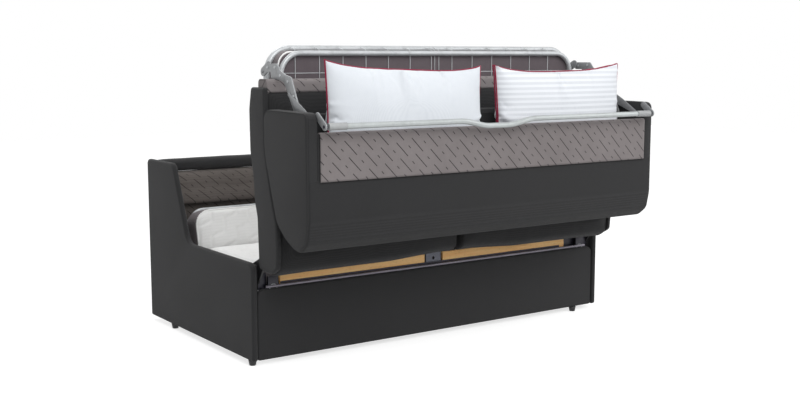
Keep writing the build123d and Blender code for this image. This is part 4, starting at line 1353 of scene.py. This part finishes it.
railStops = [-rail["end"]] + [step / 100 for step in range(-24, 19)] + [rail["end"]]
railPoints = [(across, at(rail["depth"]), rail["level"] - dipAt(across)) for across in railStops]
railTube = weld("railTube", railPoints, rail["radius"], False, railSteel, "rail", "grey_steel")
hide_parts("pillow_rail")
for side, hand in hands.items():
    outer, inner = hand * (rail["end"] + 0.002), hand * (rail["end"] - rail["sleeve"])
    line = [(outer, at(rail["depth"]), rail["level"]), (inner, at(rail["depth"]), rail["level"])]
    weld(side + "Sleeve", line, rail["sleeveRadius"], False, sleevePlastic, "rail", "grey_steel")
    line = [(hand * across, at(rail["depth"]), rail["level"]) for across in rail["spigot"]]
    weld(side + "Spigot", line, rail["spigotRadius"], False, darkSteel, "rail", "grey_steel")
    ends = complex(rail["depth"], rail["level"]), complex(*rail["plateTop"])
    way = (ends[1] - ends[0]) / abs(ends[1] - ends[0])
    around = []
    for end, first in ((ends[1], -90), (ends[0], 90)):
        for step in range(13):
            spot = end + way * rail["plateRadius"] * cmath.exp(1j * math.radians(first + step * 15))
            around.append((at(spot.real), spot.imag))
    plate = cutBoard(side + "RailPlate", around, hand * rail["plate"][0], hand * rail["plate"][1])
    roundRims(plate, 0, rail["plateEdge"], 2)
    dressPiece(plate, leverSteel, "backrest", "grey_steel", *(["rail_brackets"] if hand < 0 else []))

# Levers that carry the backrest, with rivets, and the thin stays beside them
lever = {
    "plane": (0.812, 0.818),
    "corners": [
        (0.066, 1.140), (0.052, 1.172), (-0.038, 1.172), (-0.058, 1.148), (-0.100, 1.131), (-0.143, 1.123),
        (-0.234, 0.944), (-0.197, 0.944), (-0.090, 1.103), (-0.061, 1.109), (0.011, 1.117), (0.013, 1.140),
    ],
    "radii": [0.010, 0.012, 0.012, 0.02, 0.05, 0.016, 0.012, 0.012, 0.03, 0.05, 0.010, 0.004],
    "edge": 0.0012,
    "rivets": [(-0.022, 1.158), (0.036, 1.157), (-0.062, 1.128), (-0.120, 1.106), (-0.160, 1.052)],
    "rivet": 0.0055,
    "rivetHead": 0.002,
}
stay = {
    "plane": (0.8195, 0.8225),
    "corners": [
        (-0.118, 1.064), (-0.134, 1.066), (-0.240, 1.012), (-0.330, 0.958), (-0.318, 0.946), (-0.200, 0.990),
    ],
    "radii": [0.006, 0.006, 0.05, 0.007, 0.007, 0.03],
    "edge": 0.0008,
}
for side, hand in hands.items():
    inner, outer = lever["plane"]
    bar = sideBoard(side + "Lever", lever, hand * inner, hand * outer)
    roundRims(bar, 0, lever["edge"], 2)
    dressPiece(bar, leverSteel, "seat", "grey_steel", side + "_lever")
    ends = (hand * (inner - lever["rivetHead"]), hand * (outer + lever["rivetHead"]))
    heads = [[(end, at(depth), height) for end in ends] for depth, height in lever["rivets"]]
    weld(side + "Rivets", heads, lever["rivet"], False, greySteel, "seat", "grey_steel")
    bar = sideBoard(side + "Stay", stay, hand * stay["plane"][0], hand * stay["plane"][1])
    roundRims(bar, 0, stay["edge"], 2)
    dressPiece(bar, leverSteel, "seat", "grey_steel", *(["stays"] if hand < 0 else []))

# Black plates with a hole in front of the ends of the torsion tube
endPlate = {
    "span": (0.797, 0.842),
    "low": 0.290,
    "high": 0.352,
    "front": 0.0130,
    "rear": 0.0170,
    "corner": 0.004,
    "edge": 0.001,
    "level": 0.303,
    "hole": 0.012,
    "ring": 0.016,
    "wire": 0.0017,
}
for side, hand in hands.items():
    left, right = sorted(hand * place for place in endPlate["span"])
    low, high = endPlate["low"], endPlate["high"]
    corners = [(left, low), (left, high), (right, high), (right, low)]
    square = roundOutline(corners, [endPlate["corner"]] * 4, 3)
    plate = cutBoard(side + "EndPlate", square, at(endPlate["front"]), at(endPlate["rear"]), 1)
    middle = (left + right) / 2
    bpy.ops.object.select_all(action="DESELECT")
    bpy.ops.mesh.primitive_cylinder_add(
        vertices=20,
        radius=endPlate["hole"],
        depth=0.03,
        location=(middle, at((endPlate["front"] + endPlate["rear"]) / 2), endPlate["level"]),
        rotation=(math.pi / 2, 0, 0),
    )
    drill = bpy.context.object
    finishWith(plate, "BOOLEAN", object=drill, operation="DIFFERENCE", solver="EXACT")
    bpy.data.objects.remove(drill)
    roundFace(plate, 1, at(endPlate["front"]), endPlate["edge"], 2)
    dressPiece(plate, inkSteel, "base", "black_plastic")
    ring = []
    for step in range(24):
        spot = endPlate["ring"] * cmath.exp(1j * math.radians(step * 15))
        ring.append((middle + spot.real, at(endPlate["front"]), endPlate["level"] + spot.imag))
    weld(side + "EndRing", ring, endPlate["wire"], True, sleevePlastic, "base", "grey_steel")

# Torsion tube, the dark strip under the boards, and the plates at its ends
spring = {"radius": 0.0058, "half": 0.852, "depth": 0.0145, "level": 0.3108}
springLine = [(across, at(spring["depth"]), spring["level"]) for across in (-spring["half"], spring["half"])]
springTube = weld("springTube", springLine, spring["radius"], False, springSteel, "base", "grey_steel")
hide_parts("torsion_tube")
strap = {"low": (-0.782, at(0.0235), 0.309), "high": (0.700, at(0.0256), 0.3240), "edge": 0.0008}
strapPart = block("boardStrip", strap["low"], strap["high"])
roundEdges(strapPart, lambda spot, way: abs(way.x) > 0.9, strap["edge"], 2)
paintWith(strapPart, darkSteel)
settle(strapPart, "base", "dark_steel")
gusset = {
    "span": (0.8425, 0.8795),
    "low": 0.300,
    "high": 0.366,
    "slant": 0.006,
    "front": 0.027,
    "rear": 0.031,
    "radii": [0.004, 0.008, 0.008, 0.004],
    "edge": 0.0008,
}
for side, hand in hands.items():
    left, right = sorted(hand * place for place in gusset["span"])
    low, high = gusset["low"], gusset["high"]
    corners = [(left, low), (left + gusset["slant"], high), (right, high), (right, low)]
    outline = roundOutline(corners, gusset["radii"], 3)
    plate = cutBoard(side + "Gusset", outline, at(gusset["front"]), at(gusset["rear"]), 1)
    roundRims(plate, 1, gusset["edge"], 2)
    dressPiece(plate, inkSteel, "base", "black_plastic")

# A dark plate beside the right front board, over what would show behind it: painted shade for the dark gap
# there
shadePlate = {"low": (0.736, at(0.0345), 0.298), "high": (0.8795, at(0.0375), 0.374), "edge": 0.0008}
shadeCover = block("shadeCover", shadePlate["low"], shadePlate["high"])
roundEdges(shadeCover, lambda spot, way: abs(way.y) < 0.1, shadePlate["edge"], 2)
paintWith(shadeCover, inkSteel)
settle(shadeCover, "base", "black_plastic")

# Net of the foot: upright wires that bend over the bow to the hoop, and level wires between its sides
net = {
    "wire": 0.0016,
    "depth": 0.0496,
    "first": -0.689,
    "pitch": 0.110,
    "columns": 13,
    "pair": 0.011,
    "firstRow": 0.020,
    "rowPitch": 0.068,
    "low": 0.602,
    "half": 0.7515,
    "corner": 0.082,
    "cornerDrop": 0.010,
    "overBow": [(0, -0.012), (-0.0004, -0.002), (0.004, 0.004), (0.014, 0.007)],
    "hoopDepth": 0.0865,
    "hoopRise": 0.0125,
}
netDepth = at(net["depth"])
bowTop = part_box("foot_bow")[1].z + bow["rise"]
columns = [net["first"] + column * net["pitch"] for column in range(net["columns"])]
columns += [-net["pair"], net["pair"]]
netWires = []
for across in columns:
    wire = [(across, netDepth, net["low"])]
    wire += [(across, netDepth + back, bowTop + rise) for back, rise in net["overBow"]]
    netWires.append(wire + [(across, at(net["hoopDepth"]), bowTop + net["hoopRise"])])
row = bowTop - net["firstRow"]
while row > net["low"]:
    above = max(0, row - (bowTop - net["cornerDrop"] - net["corner"]))
    half = net["half"] - net["corner"] + math.sqrt(max(0, net["corner"] ** 2 - above ** 2))
    netWires.append([(-half, netDepth + net["wire"], row), (half, netDepth + net["wire"], row)])
    row -= net["rowPitch"]
netPart = weld("footNet", netWires, net["wire"], False, greySteel, "foot", "grey_steel")
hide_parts("foot_net", "net_hooks")
print("rail, plates and net made")

# Studio: white floor and backdrop for the camera, plain light on the object
studio = {
    "floor": 12,
    "floorWhite": 0.55,
    "floorGlow": 0.70,
    "worldLight": 0.72,
    "key": 85,
    "fill": 35,
    "bed": 16,
}


def seenStraight(tree):
    # 1 for rays that show a thing to the camera, 0 for rays that light the object
    path = node(tree, "LightPath")
    seen = calc(tree, "MAXIMUM", path.outputs["Is Camera Ray"], path.outputs["Is Glossy Ray"])
    return calc(tree, "MAXIMUM", seen, path.outputs["Is Transmission Ray"])
bpy.ops.object.select_all(action="DESELECT")
bpy.ops.mesh.primitive_plane_add(size=studio["floor"] * 2, location=(0, 0, 0))
floor = bpy.context.object
floor.name = "floor"
floorPaint = bpy.data.materials.new("floorWhite")
floorPaint.use_nodes = True
tree = floorPaint.node_tree
tree.nodes.clear()
output = node(tree, "OutputMaterial")
chalk = node(tree, "BsdfDiffuse")
chalk.inputs["Color"].default_value = (studio["floorWhite"],) * 3 + (1,)
seen = seenStraight(tree)
glow = node(tree, "Emission")
tree.links.new(calc(tree, "MULTIPLY", seen, studio["floorGlow"]), glow.inputs["Strength"])
both = node(tree, "AddShader")
tree.links.new(chalk.outputs[0], both.inputs[0])
tree.links.new(glow.outputs[0], both.inputs[1])
tree.links.new(both.outputs[0], output.inputs["Surface"])
floor.data.materials.append(floorPaint)

world = bpy.data.worlds.new("studioWorld")
bpy.context.scene.world = world
world.use_nodes = True
tree = world.node_tree
background = tree.nodes["Background"]
background.inputs["Color"].default_value = (1, 1, 1, 1)
seen = seenStraight(tree)
strength = calc(tree, "ADD", calc(tree, "MULTIPLY", seen, 1 - studio["worldLight"]), studio["worldLight"])
tree.links.new(strength, background.inputs["Strength"])


def softLamp(name, place, aim, size, power):
    bpy.ops.object.select_all(action="DESELECT")
    bpy.ops.object.light_add(type="AREA", location=place)
    lamp = bpy.context.object
    lamp.name = name
    lamp.data.size = size
    lamp.data.energy = power
    lamp.rotation_euler = (Vector(aim) - Vector(place)).to_track_quat("-Z", "Y").to_euler()


softLamp("keyLamp", (-1.0, -3.5, 3.5), (0, 0, 0.5), 2.5, studio["key"])
softLamp("bedLamp", (-0.5, 1.0, 2.7), (-0.4, 0.35, 0.4), 1.2, studio["bed"])
softLamp("fillLamp", (3.0, -2.6, 2.2), (0, 0, 0.6), 2.5, studio["fill"])

camera = {
    "place": (-2.870, -4.066, 1.200),
    "right": (0.8192, -0.5735, 0),
    "up": (0.0760, 0.1085, 0.9912),
    "forward": (0.5684, 0.8120, -0.1325),
    "lens": 50.3,
}
eyeData = bpy.data.cameras.new("photoCamera")
eyeData.lens = camera["lens"]
eyeData.sensor_width = 36
eye = bpy.data.objects.new("photoCamera", eyeData)
bpy.context.scene.collection.objects.link(eye)
turn = Matrix((camera["right"], camera["up"], -Vector(camera["forward"]))).transposed()
eye.matrix_world = Matrix.Translation(camera["place"]) @ turn.to_4x4()
bpy.context.scene.camera = eye
bpy.context.scene.view_settings.view_transform = "Standard"
print("studio set")
